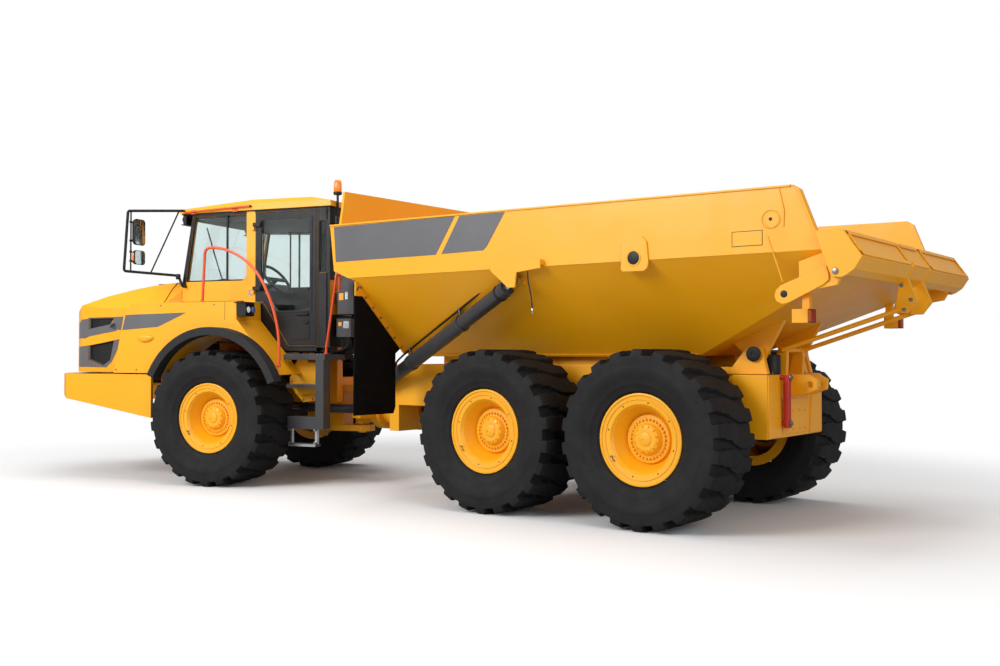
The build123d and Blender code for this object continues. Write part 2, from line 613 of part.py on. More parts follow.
for side, name in ((-1, "left"), (1, "right")):
    foot = (HOIST_FOOT[0], side * HOIST_FOOT[1], HOIST_FOOT[2])
    eye = (HOIST_EYE[0], side * HOIST_EYE[1], HOIST_EYE[2])
    hoist_length = (Vector(*eye) - Vector(*foot)).length
    with BuildPart() as hoist_barrel:
        cross_bar(foot[0], foot[2], foot[1] - 38, foot[1] + 38, 78)
        barrel_form(foot, eye, 60, hoist_length - 60 - 150, HOIST_BARREL_RADIUS, HOIST_BORE_RADIUS, 60, HOIST_ROD_RADIUS)
        along = (Vector(*eye) - Vector(*foot)).normalized()
        for ring_at, ring_length, ring_radius in HOIST_RINGS:
            ring_foot = Vector(*foot) + along * ring_at
            bar(ring_foot, ring_foot + along * ring_length, ring_radius)
        barrel_end = Vector(*foot) + along * (hoist_length - 150)
        bar(Vector(*foot) + along * 90, barrel_end - along * 60, HOIST_BORE_RADIUS, Mode.SUBTRACT)
        bar(barrel_end - along * 61, barrel_end + along, HOIST_ROD_RADIUS + 1, Mode.SUBTRACT)
        cross_bar(foot[0], foot[2], foot[1] - 39, foot[1] + 39, HOIST_SOCKET_RADIUS, Mode.SUBTRACT)
    hoist_barrel.part = placed(hoist_barrel.part)
    hoist_barrel.part.label = f"hoist_barrel_{name}"
    export_step(hoist_barrel.part, f"parts/hoist_barrel_{name}.step")
    with BuildPart() as hoist_rod:
        rod_form(foot, eye, 97, 25, HOIST_BORE_RADIUS, HOIST_ROD_RADIUS)
        cross_bar(eye[0], eye[2], eye[1] - HOIST_EYE_HALF, eye[1] + HOIST_EYE_HALF, HOIST_EYE_RADIUS)
    hoist_rod.part = placed(hoist_rod.part)
    hoist_rod.part.label = f"hoist_rod_{name}"
    export_step(hoist_rod.part, f"parts/hoist_rod_{name}.step")

    base = (STEER_BARREL_EYE[0], side * STEER_BARREL_EYE[1], STEER_CYLINDER_Z)
    rod_x, rod_y = turned(STEER_ROD_EYE[0], side * STEER_ROD_EYE[1])
    tip = (rod_x, rod_y, STEER_CYLINDER_Z)
    with BuildPart() as steering_barrel:
        bar((base[0], base[1], base[2] - 50), (base[0], base[1], base[2] + 50), 48)
        barrel_form(base, tip, 40, 780, STEER_BARREL_RADIUS, 40, 50, STEER_ROD_RADIUS)
        bar((base[0], base[1], base[2] - 51), (base[0], base[1], base[2] + 51), 27, Mode.SUBTRACT)
    steering_barrel.part = placed(steering_barrel.part)
    steering_barrel.part.label = f"steering_barrel_{name}"
    export_step(steering_barrel.part, f"parts/steering_barrel_{name}.step")
    steer_length = (Vector(*tip) - Vector(*base)).length
    with BuildPart() as steering_rod:
        rod_form(base, tip, steer_length - 860, 20, 40, STEER_ROD_RADIUS)
        bar((tip[0], tip[1], tip[2] - 42), (tip[0], tip[1], tip[2] + 62), 45)
    steering_rod.part = placed(steering_rod.part)
    steering_rod.part.label = f"steering_rod_{name}"
    export_step(steering_rod.part, f"parts/steering_rod_{name}.step")

# Front frame: two rails, nose plate, hood hinge brackets, cab posts, web and clevis of the hitch
bumper_inner_x = BUMPER_FRONT_X + BUMPER_WALL
with BuildPart() as front_frame:
    for side in (-1, 1):
        low, high = sorted((side * FRONT_RAIL_INNER_Y, side * FRONT_RAIL_OUTER_Y))
        block(bumper_inner_x + SEAT_GAP, -420, low, high, FRONT_RAIL_BOTTOM_Z, FRONT_RAIL_TOP_Z)
        low, high = sorted((side * HOOD_POST_Y, side * (HOOD_POST_Y + 90)))
        block(HOOD_HINGE[0] - 30, HOOD_HINGE[0] + 50, low, high, FRONT_RAIL_BOTTOM_Z + 20, HOOD_HINGE[1] + 30)
        low, high = sorted((side * (HOOD_POST_Y + 90), side * (HOOD_POST_Y + 150)))
        cross_bar(HOOD_HINGE[0], HOOD_HINGE[1], low, high, HOOD_PIN_RADIUS)
        low, high = sorted((side * FRONT_RAIL_INNER_Y, side * FRONT_RAIL_OUTER_Y))
        for post_x in (-1050, -200):
            block(post_x, post_x + 110, low, high, FRONT_RAIL_BOTTOM_Z, CAB_FLOOR_Z - SEAT_GAP)
        block(FRONT_AXLE_X - 60, FRONT_AXLE_X + 60, low, high, TYRE_RADIUS + AXLE_TUBE_RADIUS + SEAT_GAP, FRONT_RAIL_BOTTOM_Z + 10)
        low, high = sorted((side * (FRONT_RAIL_OUTER_Y - 5), side * (FENDER_INNER_Y - SEAT_GAP)))
        block(-2330, -2210, low, high, FRONT_RAIL_BOTTOM_Z + 60, FRONT_RAIL_TOP_Z + 230)
    block(-400, -260, -800, -260, 1040, 1130)
    block(-400, -260, 260, SIDE_TANK_INNER_Y - SEAT_GAP, 1040, 1130)
    block(-425, -60, -816, -790, 1040, 1400)
    block(-400, -260, -816, -690, 1390, 1430 - SEAT_GAP)
    block(bumper_inner_x + SEAT_GAP, bumper_inner_x + 120, -FRONT_RAIL_INNER_Y, FRONT_RAIL_INNER_Y,
          FRONT_RAIL_BOTTOM_Z, FRONT_RAIL_TOP_Z)
    block(-560, -420, -FRONT_RAIL_INNER_Y, FRONT_RAIL_INNER_Y, FRONT_RAIL_BOTTOM_Z, FRONT_RAIL_TOP_Z)
    block(-200, -90, -FRONT_RAIL_OUTER_Y, FRONT_RAIL_OUTER_Y, FRONT_RAIL_TOP_Z, FRONT_RAIL_TOP_Z + 90)
    horn = [(-620, -FRONT_RAIL_INNER_Y), (-420, -FRONT_RAIL_INNER_Y), (0, -170), (120, -110), (160, 0),
            (120, 110), (0, 170), (-420, FRONT_RAIL_INNER_Y), (-620, FRONT_RAIL_INNER_Y)]
    plan_prism(horn, CLEVIS_UPPER_Z, CLEVIS_UPPER_Z + CLEVIS_PLATE)
    lower_horn = [(-700, -120), (-150, -120), (60, -120), (140, -60), (140, 60), (60, 120), (-150, 120), (-700, 120)]
    plan_prism(lower_horn, CLEVIS_LOWER_Z - CLEVIS_PLATE, CLEVIS_LOWER_Z)
    block(-700, -190, -110, 110, CLEVIS_LOWER_Z - CLEVIS_PLATE, CLEVIS_UPPER_Z + 20)
    bar((0, 0, CLEVIS_LOWER_Z - CLEVIS_PLATE - 20), (0, 0, CLEVIS_UPPER_Z + CLEVIS_PLATE + 20), HITCH_PIN_RADIUS)
front_frame.part = parked(front_frame.part)
front_frame.part.label = "front_frame"
export_step(front_frame.part, "parts/front_frame.step")

# Engine: one plain block on the rails
with BuildPart() as engine_block:
    block(-3500, -2350, -360, 360, FRONT_RAIL_TOP_Z + SEAT_GAP, 1850)
engine_block.part = parked(engine_block.part)
engine_block.part.label = "engine_block"
export_step(engine_block.part, "parts/engine_block.step")

# Bumper: a deep band bent round the nose, its lower edge rising to the front
corners_left = [(x, -y) for x, y in BUMPER_CORNERS]
band = [(BUMPER_REAR_X, -BUMPER_HALF_WIDTH)] + corners_left + list(reversed(BUMPER_CORNERS)) \
    + [(BUMPER_REAR_X, BUMPER_HALF_WIDTH)]
w = BUMPER_WALL
inner_half = [(BUMPER_REAR_X + 100, BUMPER_HALF_WIDTH - w), (-3345, BUMPER_HALF_WIDTH - w), (-3606, 1016),
              (-3812, 742), (BUMPER_FRONT_X + w, 440)]
inner_band = [(x, -y) for x, y in inner_half] + list(reversed(inner_half))
with BuildPart() as bumper:
    plan_prism(band, 600, BUMPER_TOP_Z)
    profile = [(BUMPER_REAR_X, BUMPER_TOP_Z), (BUMPER_FRONT_X, BUMPER_TOP_Z), (BUMPER_FRONT_X + 60, 1030),
               (-3290, 950), (BUMPER_REAR_X, 748)]
    side_prism(profile, -2000, 2000, Mode.INTERSECT)
    plan_prism(inner_band, 500, BUMPER_TOP_Z - 25, Mode.SUBTRACT)
    block(-3440, BUMPER_REAR_X + 100, -1120, 1120, 500, BUMPER_TOP_Z + 10, Mode.SUBTRACT)
    block(BUMPER_FRONT_X + BUMPER_WALL, -3440, -400, 400, 500, BUMPER_TOP_Z + 10, Mode.SUBTRACT)
bumper.part = parked(bumper.part)
bumper.part.label = "bumper"
export_step(bumper.part, "parts/bumper.step")


# Hood: the inside is taken out of the outer form
def hood_form(inset, open_by):
    """The hood's form moved in by a wall, its foot and back carried past by a length."""
    half = HOOD_HALF_WIDTH - inset
    front = -3950 + inset
    plan_half = [(HOOD_REAR_X + open_by, half), (-3150, half - 30), (-3450, half - 70), (-3640, half - 220),
                 (-3850, half - 460), (front, half - 700)]
    plan = [(x + inset * 0.4 * (x < -3200), -y) for x, y in plan_half]
    plan = plan + [(x, -y) for x, y in reversed(plan)]
    top = [(HOOD_REAR_X + open_by, 2372 - inset), (-2500, 2340 - inset), (-2730, 2300 - inset),
           (-3120, 2212 - inset), (-3420, 2108 - inset), (-3780, 1975 - inset), (front, 1900 - inset)]
    if open_by:
        side = top + [(front, 1200), (HOOD_REAR_X + open_by, 1200)]
    else:
        side = top + [(front, 1345), (-3800, 1275), (-2660, 1272), (-2500, 1990), (-2410, 2080), (-2410, 2108),
                      (HOOD_REAR_X, 2108)]
    end = [(half, 1100), (half, 2030), (half - 230, 2290), (half - 480, 2500)]
    end = end + [(-y, z) for y, z in reversed(end)]
    with BuildPart() as form:
        plan_prism(plan, 1100, 2600)
        side_prism(side, -1500, 1500, Mode.INTERSECT)
        end_prism(end, -4100, -1500, Mode.INTERSECT)
    return form.part


with BuildPart() as hood:
    add(hood_form(0, 0))
    add(hood_form(HOOD_WALL, 200), mode=Mode.SUBTRACT)
    upper_vent = [(-3330, 1800), (-2960, 1860), (-2900, 1935), (-3330, 1935)]
    lower_vent = [(-3330, 1420), (-3100, 1340), (-2960, 1420), (-2880, 1760), (-3330, 1690)]
    for vent in (upper_vent, lower_vent):
        side_prism(vent, -1500, 1500, Mode.SUBTRACT)
    block(-4100, -3700, -560, 560, 1440, 1830, Mode.SUBTRACT)
    block(-3935, -3860, -HOOD_POST_Y - 98, HOOD_POST_Y + 98, 1270, 1385, Mode.SUBTRACT)
    for side in (-1, 1):
        low, high = sorted((side * (HOOD_POST_Y + 100), side * (HOOD_POST_Y + 140)))
        ear_x, ear_z = HOOD_HINGE
        side_prism([(-3925, ear_z + 95), (-3925, ear_z + 20), (ear_x - 28, ear_z - 28), (ear_x + 28, ear_z - 28),
                    (ear_x + 28, ear_z + 28), (-3890, ear_z + 95)], low, high)
        cross_bar(ear_x, ear_z, low - 1, high + 1, HOOD_PIN_RADIUS + 1, Mode.SUBTRACT)
hood.part = parked(hood.part)
hood.part.label = "hood"
export_step(hood.part, "parts/hood.step")

# Fenders: shells over the front wheels, open inward

def fender_form(inset):
    """The fender's side outline moved in by a wall: straight edges above, the wheel arch below."""
    centre = (ARCH_CENTRE[0], ARCH_CENTRE[1])
    radius = ARCH_RADIUS + inset
    arc_start = (centre[0] - sqrt(radius ** 2 - (1272 + inset - centre[1]) ** 2), 1272 + inset)
    arc_end = (centre[0] + sqrt(radius ** 2 - (1262 + inset - centre[1]) ** 2), 1262 + inset)
    foot = (FENDER_FOOT_X - inset * 1.35, 1262 + inset)
    with BuildSketch(Plane.XZ.offset(-(FENDER_OUTER_Y - inset))) as outline:
        with BuildLine():
            Polyline(arc_start, (-2640 + inset * 1.2, 1272 + inset), (-2480 + inset, 1990), (-2380 + inset, 2092 - inset),
                     (-900 - inset, 2092 - inset), (-895 - inset * 0.6, 1885 - inset * 0.6), foot, arc_end)
            ThreePointArc(arc_end, (centre[0], centre[1] + radius), arc_start)
        make_face()
    return outline.sketch


with BuildPart() as fenders:
    extrude(fender_form(0), amount=FENDER_OUTER_Y - FENDER_INNER_Y)
    extrude(fender_form(FENDER_WALL), amount=FENDER_OUTER_Y - FENDER_INNER_Y, mode=Mode.SUBTRACT)
    mirror(about=Plane.XZ)
fenders.part = parked(fenders.part)
fenders.part.label = "fenders"
export_step(fenders.part, "parts/fenders.step")

# Rubber flares round the wheel arches
with BuildPart() as flares:
    with BuildSketch(Plane.XZ.offset(-FLARE_OUTER_Y)) as flare_outline:
        with BuildLine():
            outer_r = FLARE_RADIUS
            inner_r = ARCH_RADIUS - 5
            a0, a1 = radians(155), radians(21)
            c = ARCH_CENTRE
            p0 = (c[0] + outer_r * cos(a0), c[1] + outer_r * sin(a0))
            p1 = (c[0] + outer_r * cos(a1), c[1] + outer_r * sin(a1))
            p2 = (c[0] + inner_r * cos(a1), c[1] + inner_r * sin(a1))
            p3 = (c[0] + inner_r * cos(a0), c[1] + inner_r * sin(a0))
            ThreePointArc(p0, (c[0], c[1] + outer_r), p1)
            Line(p1, p2)
            ThreePointArc(p2, (c[0], c[1] + inner_r), p3)
            Line(p3, p0)
        make_face()
    extrude(flare_outline.sketch, amount=FLARE_OUTER_Y - FENDER_OUTER_Y - SEAT_GAP)
    mirror(about=Plane.XZ)
flares.part = parked(flares.part)
flares.part.label = "flares"
export_step(flares.part, "parts/flares.step")

# Cab body: floor, walls and pillars with the windows and the doorway cut
windscreen_foot_x = -2040
windscreen_top_x = -1880
cab_side = [(windscreen_foot_x, COWL_Z), (windscreen_foot_x, 2340), (windscreen_top_x, CAB_TOP_Z), (CAB_REAR_X, CAB_TOP_Z),
            (CAB_REAR_X, CAB_FLOOR_Z), (-1150, CAB_FLOOR_Z), (-1150, COWL_Z)]
t = CAB_WALL
cab_inside = [(windscreen_foot_x + t, COWL_Z + t), (windscreen_foot_x + t, 2340), (windscreen_top_x + t, CAB_TOP_Z + 10),
              (CAB_REAR_X - t, CAB_TOP_Z + 10), (CAB_REAR_X - t, CAB_FLOOR_Z + t), (-1150 + t, CAB_FLOOR_Z + t), (-1150 + t, COWL_Z + t)]
side_window = [(-1985, 2365), (-1860, 3150), (-1115, 3150), (-1115, 2365)]
rear_light = [(-130, 2430), (-130, 3030), (-30, 3030), (-30, 2430)]
with BuildPart() as cab_body:
    side_prism(cab_side, -CAB_HALF_WIDTH, CAB_HALF_WIDTH)
    side_prism(cab_inside, -CAB_HALF_WIDTH + t, CAB_HALF_WIDTH - t, Mode.SUBTRACT)
    side_prism(side_window, -CAB_HALF_WIDTH - 1, CAB_HALF_WIDTH + 1, Mode.SUBTRACT)
    side_prism(rear_light, -CAB_HALF_WIDTH - 1, CAB_HALF_WIDTH + 1, Mode.SUBTRACT)
    doorway = [(DOOR_FRONT_X - 5, DOOR_CUT[0][1] - 5), (DOOR_CUT[1][0] - 3, DOOR_CUT[1][1] - 5),
               (DOOR_CUT[2][0] - 3, DOOR_FOOT_Z - 5), (DOOR_REAR_X + 5, DOOR_FOOT_Z - 5),
               (DOOR_REAR_X + 5, DOOR_TOP_Z + 5), (DOOR_FRONT_X - 5, DOOR_TOP_Z + 5)]
    side_prism(doorway, -CAB_HALF_WIDTH - 1, -CAB_HALF_WIDTH + t + 1, Mode.SUBTRACT)
    block(-960, -200, CAB_HALF_WIDTH - t - 1, CAB_HALF_WIDTH + 1, 2200, 3130, Mode.SUBTRACT)
    block(windscreen_foot_x - 10, windscreen_foot_x + 400, -CAB_HALF_WIDTH + 70, CAB_HALF_WIDTH - 70, 2365, 3130, Mode.SUBTRACT)
    block(CAB_REAR_X - t - 1, CAB_REAR_X + 1, -CAB_HALF_WIDTH + 120, CAB_HALF_WIDTH - 120, 2350, 3080, Mode.SUBTRACT)
    for knuckle_z in DOOR_KNUCKLES:
        block(DOOR_HINGE[0] - 30, DOOR_HINGE[0] + 10, DOOR_HINGE[1] - 12, -CAB_HALF_WIDTH + 1, knuckle_z, knuckle_z + 40)
        bar((*DOOR_HINGE, knuckle_z + 35), (*DOOR_HINGE, knuckle_z + 90), 6)
cab_body.part = parked(cab_body.part)
cab_body.part.label = "cab_body"
export_step(cab_body.part, "parts/cab_body.step")

# Cab roof with its rim
with BuildPart() as cab_roof:
    roof_side = [(-2100, 3215), (-2080, 3250), (-1030, ROOF_TOP_Z), (-250, ROOF_TOP_Z - 8), (40, 3255), (45, CAB_TOP_Z + SEAT_GAP),
                 (-2040, CAB_TOP_Z + SEAT_GAP)]
    side_prism(roof_side, -ROOF_HALF_WIDTH, ROOF_HALF_WIDTH)
    chamfer(cab_roof.part.edges().filter_by(Plane.XZ).group_by(Axis.Z)[-1], 45)
cab_roof.part = parked(cab_roof.part)
cab_roof.part.label = "cab_roof"
export_step(cab_roof.part, "parts/cab_roof.step")

# Cab glass: one pane in each opening, clear of the frame by the seat gap
g = SEAT_GAP
pane = 8
with BuildPart() as cab_glass:
    for side in (-1, 1):
        low, high = sorted((side * (CAB_HALF_WIDTH - 30), side * (CAB_HALF_WIDTH - 30 + pane)))
        side_prism([(-1985 + g, 2365 + g), (-1860 + g, 3150 - g), (-1115 - g, 3150 - g), (-1115 - g, 2365 + g)], low, high)
        side_prism([(-130 + g, 2430 + g), (-130 + g, 3030 - g), (-30 - g, 3030 - g), (-30 - g, 2430 + g)], low, high)
    block(-960 + g, -200 - g, CAB_HALF_WIDTH - 30, CAB_HALF_WIDTH - 30 + pane, 2200 + g, 3130 - g)
    block(CAB_REAR_X - 30, CAB_REAR_X - 30 + pane, -CAB_HALF_WIDTH + 120 + g, CAB_HALF_WIDTH - 120 - g, 2350 + g, 3080 - g)
    lean = (windscreen_top_x - windscreen_foot_x) / (CAB_TOP_Z - 2340)
    screen = [(windscreen_foot_x + 20 + lean * 25, 2365 + g), (windscreen_foot_x + 20 + lean * 790, 3130 - g),
              (windscreen_foot_x + 30 + lean * 790, 3130 - g), (windscreen_foot_x + 30 + lean * 25, 2365 + g)]
    side_prism(screen, -CAB_HALF_WIDTH + 70 + g, CAB_HALF_WIDTH - 70 - g)
cab_glass.part = parked(cab_glass.part)
cab_glass.part.label = "cab_glass"
export_step(cab_glass.part, "parts/cab_glass.step")

# Driver's chair on its pedestal, and the console with the steering wheel
floor_top = CAB_FLOOR_Z + CAB_WALL + SEAT_GAP
with BuildPart() as driver_chair:
    block(-660, -340, -160, 160, floor_top, 1900)
    block(-760, -260, -250, 250, 1900, 2050)
    back = [(-330, 2000), (-200, 2760), (-120, 2750), (-200, 2000)]
    side_prism(back, -240, 240)
driver_chair.part = parked(driver_chair.part)
driver_chair.part.label = "driver_chair"
export_step(driver_chair.part, "parts/driver_chair.step")
with BuildPart() as console:
    dash = [(windscreen_foot_x + CAB_WALL + SEAT_GAP, COWL_Z + CAB_WALL + SEAT_GAP), (windscreen_foot_x + CAB_WALL + SEAT_GAP, 2330),
            (-1500, 2400), (-1400, 2300), (-1400, COWL_Z + CAB_WALL + SEAT_GAP)]
    side_prism(dash, -CAB_HALF_WIDTH + 80, CAB_HALF_WIDTH - 80)
    bar((-1450, 0, 2250), (-1240, 0, 2420), 30)
    with BuildSketch(Plane(origin=(-1240, 0, 2420), z_dir=(210, 0, 170))) as wheel_ring:
        Circle(230)
        Circle(200, mode=Mode.SUBTRACT)
        Rectangle(40, 420)
    extrude(wheel_ring.sketch, amount=25)
console.part = parked(console.part)
console.part.label = "console"
export_step(console.part, "parts/console.step")

# Door: a black frame with its glass, hinged on the front post, its lower front corner cut along the fender
door_y = -CAB_HALF_WIDTH
door_outline = DOOR_CUT + [(DOOR_REAR_X, DOOR_FOOT_Z), (DOOR_REAR_X, DOOR_TOP_Z), (DOOR_FRONT_X, DOOR_TOP_Z)]
door_window = [(-905, 2230), (-820, 2180), (-700, 2000), (DOOR_REAR_X - 80, 2000), (DOOR_REAR_X - 80, DOOR_TOP_Z - 90),
               (-905, DOOR_TOP_Z - 90)]
with BuildPart() as door:
    side_prism(door_outline, door_y, door_y + DOOR_THICKNESS)
    side_prism(door_window, door_y - 1, door_y + DOOR_THICKNESS + 1, Mode.SUBTRACT)
    for knuckle_z in DOOR_KNUCKLES:
        bar((*DOOR_HINGE, knuckle_z + 42), (*DOOR_HINGE, knuckle_z + 88), 12)
        block(DOOR_HINGE[0], DOOR_HINGE[0] + 90, DOOR_HINGE[1] - 9, DOOR_HINGE[1] + 5, knuckle_z + 42, knuckle_z + 88)
        block(DOOR_HINGE[0] + 30, DOOR_HINGE[0] + 90, DOOR_HINGE[1] - 9, door_y + 1, knuckle_z + 42, knuckle_z + 88)
        bar((*DOOR_HINGE, knuckle_z + 41), (*DOOR_HINGE, knuckle_z + 93), 6.5, Mode.SUBTRACT)
door.part = parked(door.part)
door.part.label = "door"
export_step(door.part, "parts/door.step")
window_middle = ((DOOR_FRONT_X + DOOR_REAR_X) / 2, 2600)
with BuildPart() as door_glass:
    pane_outline = [(x + (g if x < window_middle[0] else -g), z + (g if z < window_middle[1] else -g)) for x, z in door_window]
    side_prism(pane_outline, door_y + 20, door_y + 28)
door_glass.part = parked(door_glass.part)
door_glass.part.label = "door_glass"
export_step(door_glass.part, "parts/door_glass.step")

# Steps and platform below the door
with BuildPart() as access_steps:
    block(-462, 78, -1000, -560, 1430, 1494)
    block(-45, 60, -1000, -850, 780, 1435)
    block(-430, 60, -1000, -850, 1110, 1150)
    block(-412, 60, -1000, -850, 650, 790)
    for link_x in (-400, -70):
        block(link_x, link_x + 24, -960, -920, 480, 650)
    block(-400, -46, -1000, -880, 452, 480)
access_steps.part = parked(access_steps.part)
access_steps.part.label = "access_steps"
export_step(access_steps.part, "parts/access_steps.step")

# Right-hand tank
with BuildPart() as side_tank:
    block(-310, 60, SIDE_TANK_INNER_Y, 1000, 700, 1300)
    fillet(side_tank.part.edges().filter_by(Axis.X), 60)
side_tank.part = parked(side_tank.part)
side_tank.part.label = "side_tank"
export_step(side_tank.part, "parts/side_tank.step")

# Handrails
with BuildPart() as handrails:
    for side in (-1, 1):
        rail_y = side * 1250
        bent_tube([(-1400, rail_y, 2093.4), (-1363, rail_y, 2704), (-1150, rail_y, 2690), (-785, rail_y, 2514), (-530, rail_y, 2227),
                   (-363, rail_y, 1761), (-370, rail_y, 1348)], 60, 17)
    bent_tube([(84, -985, 1494 + SEAT_GAP), (84, -985, 1560), (206, -985, 2300), (206, -985, 2380), (206, -900, 2380),
               (206, -900, 2200)], 30, 15)
    roof_side_y = -ROOF_HALF_WIDTH - SEAT_GAP
    bent_tube([(-1960, roof_side_y, 3203), (-1960, -862, 3203), (-1035, -862, 3235), (-1035, roof_side_y, 3235)], 14, 10)
    bar((-1500, roof_side_y, 3219), (-1500, -862, 3219), 8)
handrails.part = parked(handrails.part)
handrails.part.label = "handrails"
export_step(handrails.part, "parts/handrails.step")

# Mirror frames, each a loop out from the cab with an upright rod, and the heads on the rod
MIRROR_TUBE = 16
MIRROR_ROD = 9
MIRROR_ROD_X = -2362
MIRROR_ROD_Y = 1335
with BuildPart() as mirror_frames:
    for side in (-1, 1):
        bent_tube([(-1995, side * (830 + SEAT_GAP), 3228), (-1995, side * 880, 3222), (-2350, side * 1400, 3175),
                   (-2405, side * 1400, 2470), (-2040, side * 875, 2440), (-1985, side * 866, 2310),
                   (-1985, side * (CAB_HALF_WIDTH + SEAT_GAP), 2310)], 28, MIRROR_TUBE)
    for side in (-1, 1):
        bar((MIRROR_ROD_X, side * MIRROR_ROD_Y, 2460), (MIRROR_ROD_X, side * MIRROR_ROD_Y, 3190), MIRROR_ROD)
mirror_frames.part = parked(mirror_frames.part)
mirror_frames.part.label = "mirror_frames"
export_step(mirror_frames.part, "parts/mirror_frames.step")
with BuildPart() as mirror_heads:
    for side in (-1, 1):
        head_x = MIRROR_ROD_X + MIRROR_ROD + SEAT_GAP
        low, high = sorted((side * 1165, side * 1350))
        block(head_x, head_x + 60, low, high, 2780, 3090)
        block(head_x, head_x + 60, low, high, 2550, 2720)
mirror_heads.part = parked(mirror_heads.part)
mirror_heads.part.label = "mirror_heads"
export_step(mirror_heads.part, "parts/mirror_heads.step")

# Air cleaner behind the cab, beacon on its mast
with BuildPart() as air_cleaner:
    block(90, 300, -750, -350, 1950, 2340)
    fillet(air_cleaner.part.edges().filter_by(Axis.Y).group_by(Axis.Z)[-1], 90)
    block(CAB_REAR_X + SEAT_GAP, 95, -700, -400, 2090, 2200)
air_cleaner.part = parked(air_cleaner.part)
air_cleaner.part.label = "air_cleaner"
export_step(air_cleaner.part, "parts/air_cleaner.step")
with BuildPart() as beacon:
    bar((60, -700, 2900), (60, -700, 3340), 14)
    bar((60, -700, 3340), (60, -700, 3500), 50)
    block(20.3, 60, -720, -680, 2950, 3000)
beacon.part = parked(beacon.part)
beacon.part.label = "beacon"
export_step(beacon.part, "parts/beacon.step")

# Grille: dark plates with ribs behind the hood's openings, and the lamp on each cheek
with BuildPart() as grille:
    for side in (-1, 1):
        plate = [(-3345, 932.5), (-3150, 959.6), (-2870, 966.9), (-2870, 957), (-3150, 949), (-3345, 922)]
        plan_prism([(x, side * y) for x, y in plate], 1325, 1945)
        for rib in range(5):
            rib_x = -3340 + rib * 95
            rib_y = 925 + 0.138 * min(rib_x + 3345, 195) + 0.0286 * max(rib_x + 3150, 0)
            low, high = sorted((side * (rib_y - 25), side * rib_y))
            block(rib_x, rib_x + 12, low, high, 1325, 1945)
grille.part = parked(grille.part)
grille.part.label = "grille"
export_step(grille.part, "parts/grille.step")

# Radiator grille of slats in the nose
with BuildPart() as nose_grille:
    for side in (-1, 1):
        low, high = sorted((side * 540, side * 560))
        block(-3805, -3790, low, high, 1425, 1845)
    for slat in range(9):
        slat_z = 1440 + slat * 48
        block(-3905, -3885, -300, 300, slat_z, slat_z + 12)
        for side in (-1, 1):
            ends = [(-3905, side * 290), (-3885, side * 290), (-3790, side * 553), (-3812, side * 553)]
            plan_prism(ends, slat_z, slat_z + 12)
    for post_y in (-270, 0, 270):
        block(-3907.7, -3885, post_y - 10, post_y + 10, 1425, 1850)
nose_grille.part = parked(nose_grille.part)
nose_grille.part.label = "nose_grille"
export_step(nose_grille.part, "parts/nose_grille.step")

# Work lamps on the fenders' rear corners and under the roof's front corners
with BuildPart() as work_lamps:
    for side in (-1, 1):
        low, high = sorted((side * 1120, side * 1290))
        side_prism([(-895.6, 1925), (-780, 1925), (-780, 2070), (-899.1, 2070)], low, high)
        low, high = sorted((side * 560, side * 720))
        side_prism([(-2095, 3080), (-2050, 3080), (-2050, 3194), (-2095, 3212.5)], low, high)
work_lamps.part = parked(work_lamps.part)
work_lamps.part.label = "work_lamps"
export_step(work_lamps.part, "parts/work_lamps.step")



def chute_underside_z(x):
    """Height of the chute's underside."""
    return FLOOR_Z + (x - CHUTE_START_X) * tan(chute_angle)


# Tail lamps hung from the chute's underside
with BuildPart() as tail_lamps:
    for side in (-1, 1):
        low, high = sorted((side * 1050, side * 1200))
        block(5900, 6030, low, high, 1740, 1850)
        bracket = [(x, chute_underside_z(x) - SEAT_GAP) for x in (5930, 5990)]
        low, high = sorted((side * 1000, side * 1060))
        side_prism([(5930, 1800)] + bracket + [(5990, 1800)], low, high)
tail_lamps.part = placed(tail_lamps.part)
tail_lamps.part.label = "tail_lamps"
export_step(tail_lamps.part, "parts/tail_lamps.step")

# Drive shafts from the hitch to the middle axle and on to the rear axle
with BuildPart() as drive_shafts:
    bar((1000, 0, ROLL_AXIS_Z), (MIDDLE_AXLE_X - AXLE_BOWL_RADIUS - SEAT_GAP, 0, TYRE_RADIUS), 55)
    bar((MIDDLE_AXLE_X + AXLE_BOWL_RADIUS + SEAT_GAP, 0, TYRE_RADIUS), (REAR_AXLE_X - AXLE_BOWL_RADIUS - SEAT_GAP, 0, TYRE_RADIUS), 55)
drive_shafts.part = placed(drive_shafts.part)
drive_shafts.part.label = "drive_shafts"
export_step(drive_shafts.part, "parts/drive_shafts.step")

# Exhaust box behind the cab on the right, and the intake hose under the air cleaner
with BuildPart() as exhaust:
    block(CAB_REAR_X + SEAT_GAP, 300, 250, 680, 1650, 2250)
    fillet(exhaust.part.edges().filter_by(Axis.Z), 60)
    bar((180, 520, 2240), (180, 520, 2420), 55)
exhaust.part = parked(exhaust.part)
exhaust.part.label = "exhaust"
export_step(exhaust.part, "parts/exhaust.step")
with BuildPart() as intake_hose:
    bent_tube([(195, -480, 1950 - SEAT_GAP), (195, -480, 1600), (-20, -480, 1465)], 110, 62)
intake_hose.part = parked(intake_hose.part)
intake_hose.part.label = "intake_hose"
export_step(intake_hose.part, "parts/intake_hose.step")

print("origin", round(ORIGIN_X, 3), round(ORIGIN_Y, 3))
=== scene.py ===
"""Articulated dump truck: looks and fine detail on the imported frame. Metres, in the row frame."""
import math

import bmesh
import bpy
from mathutils import Matrix, Vector


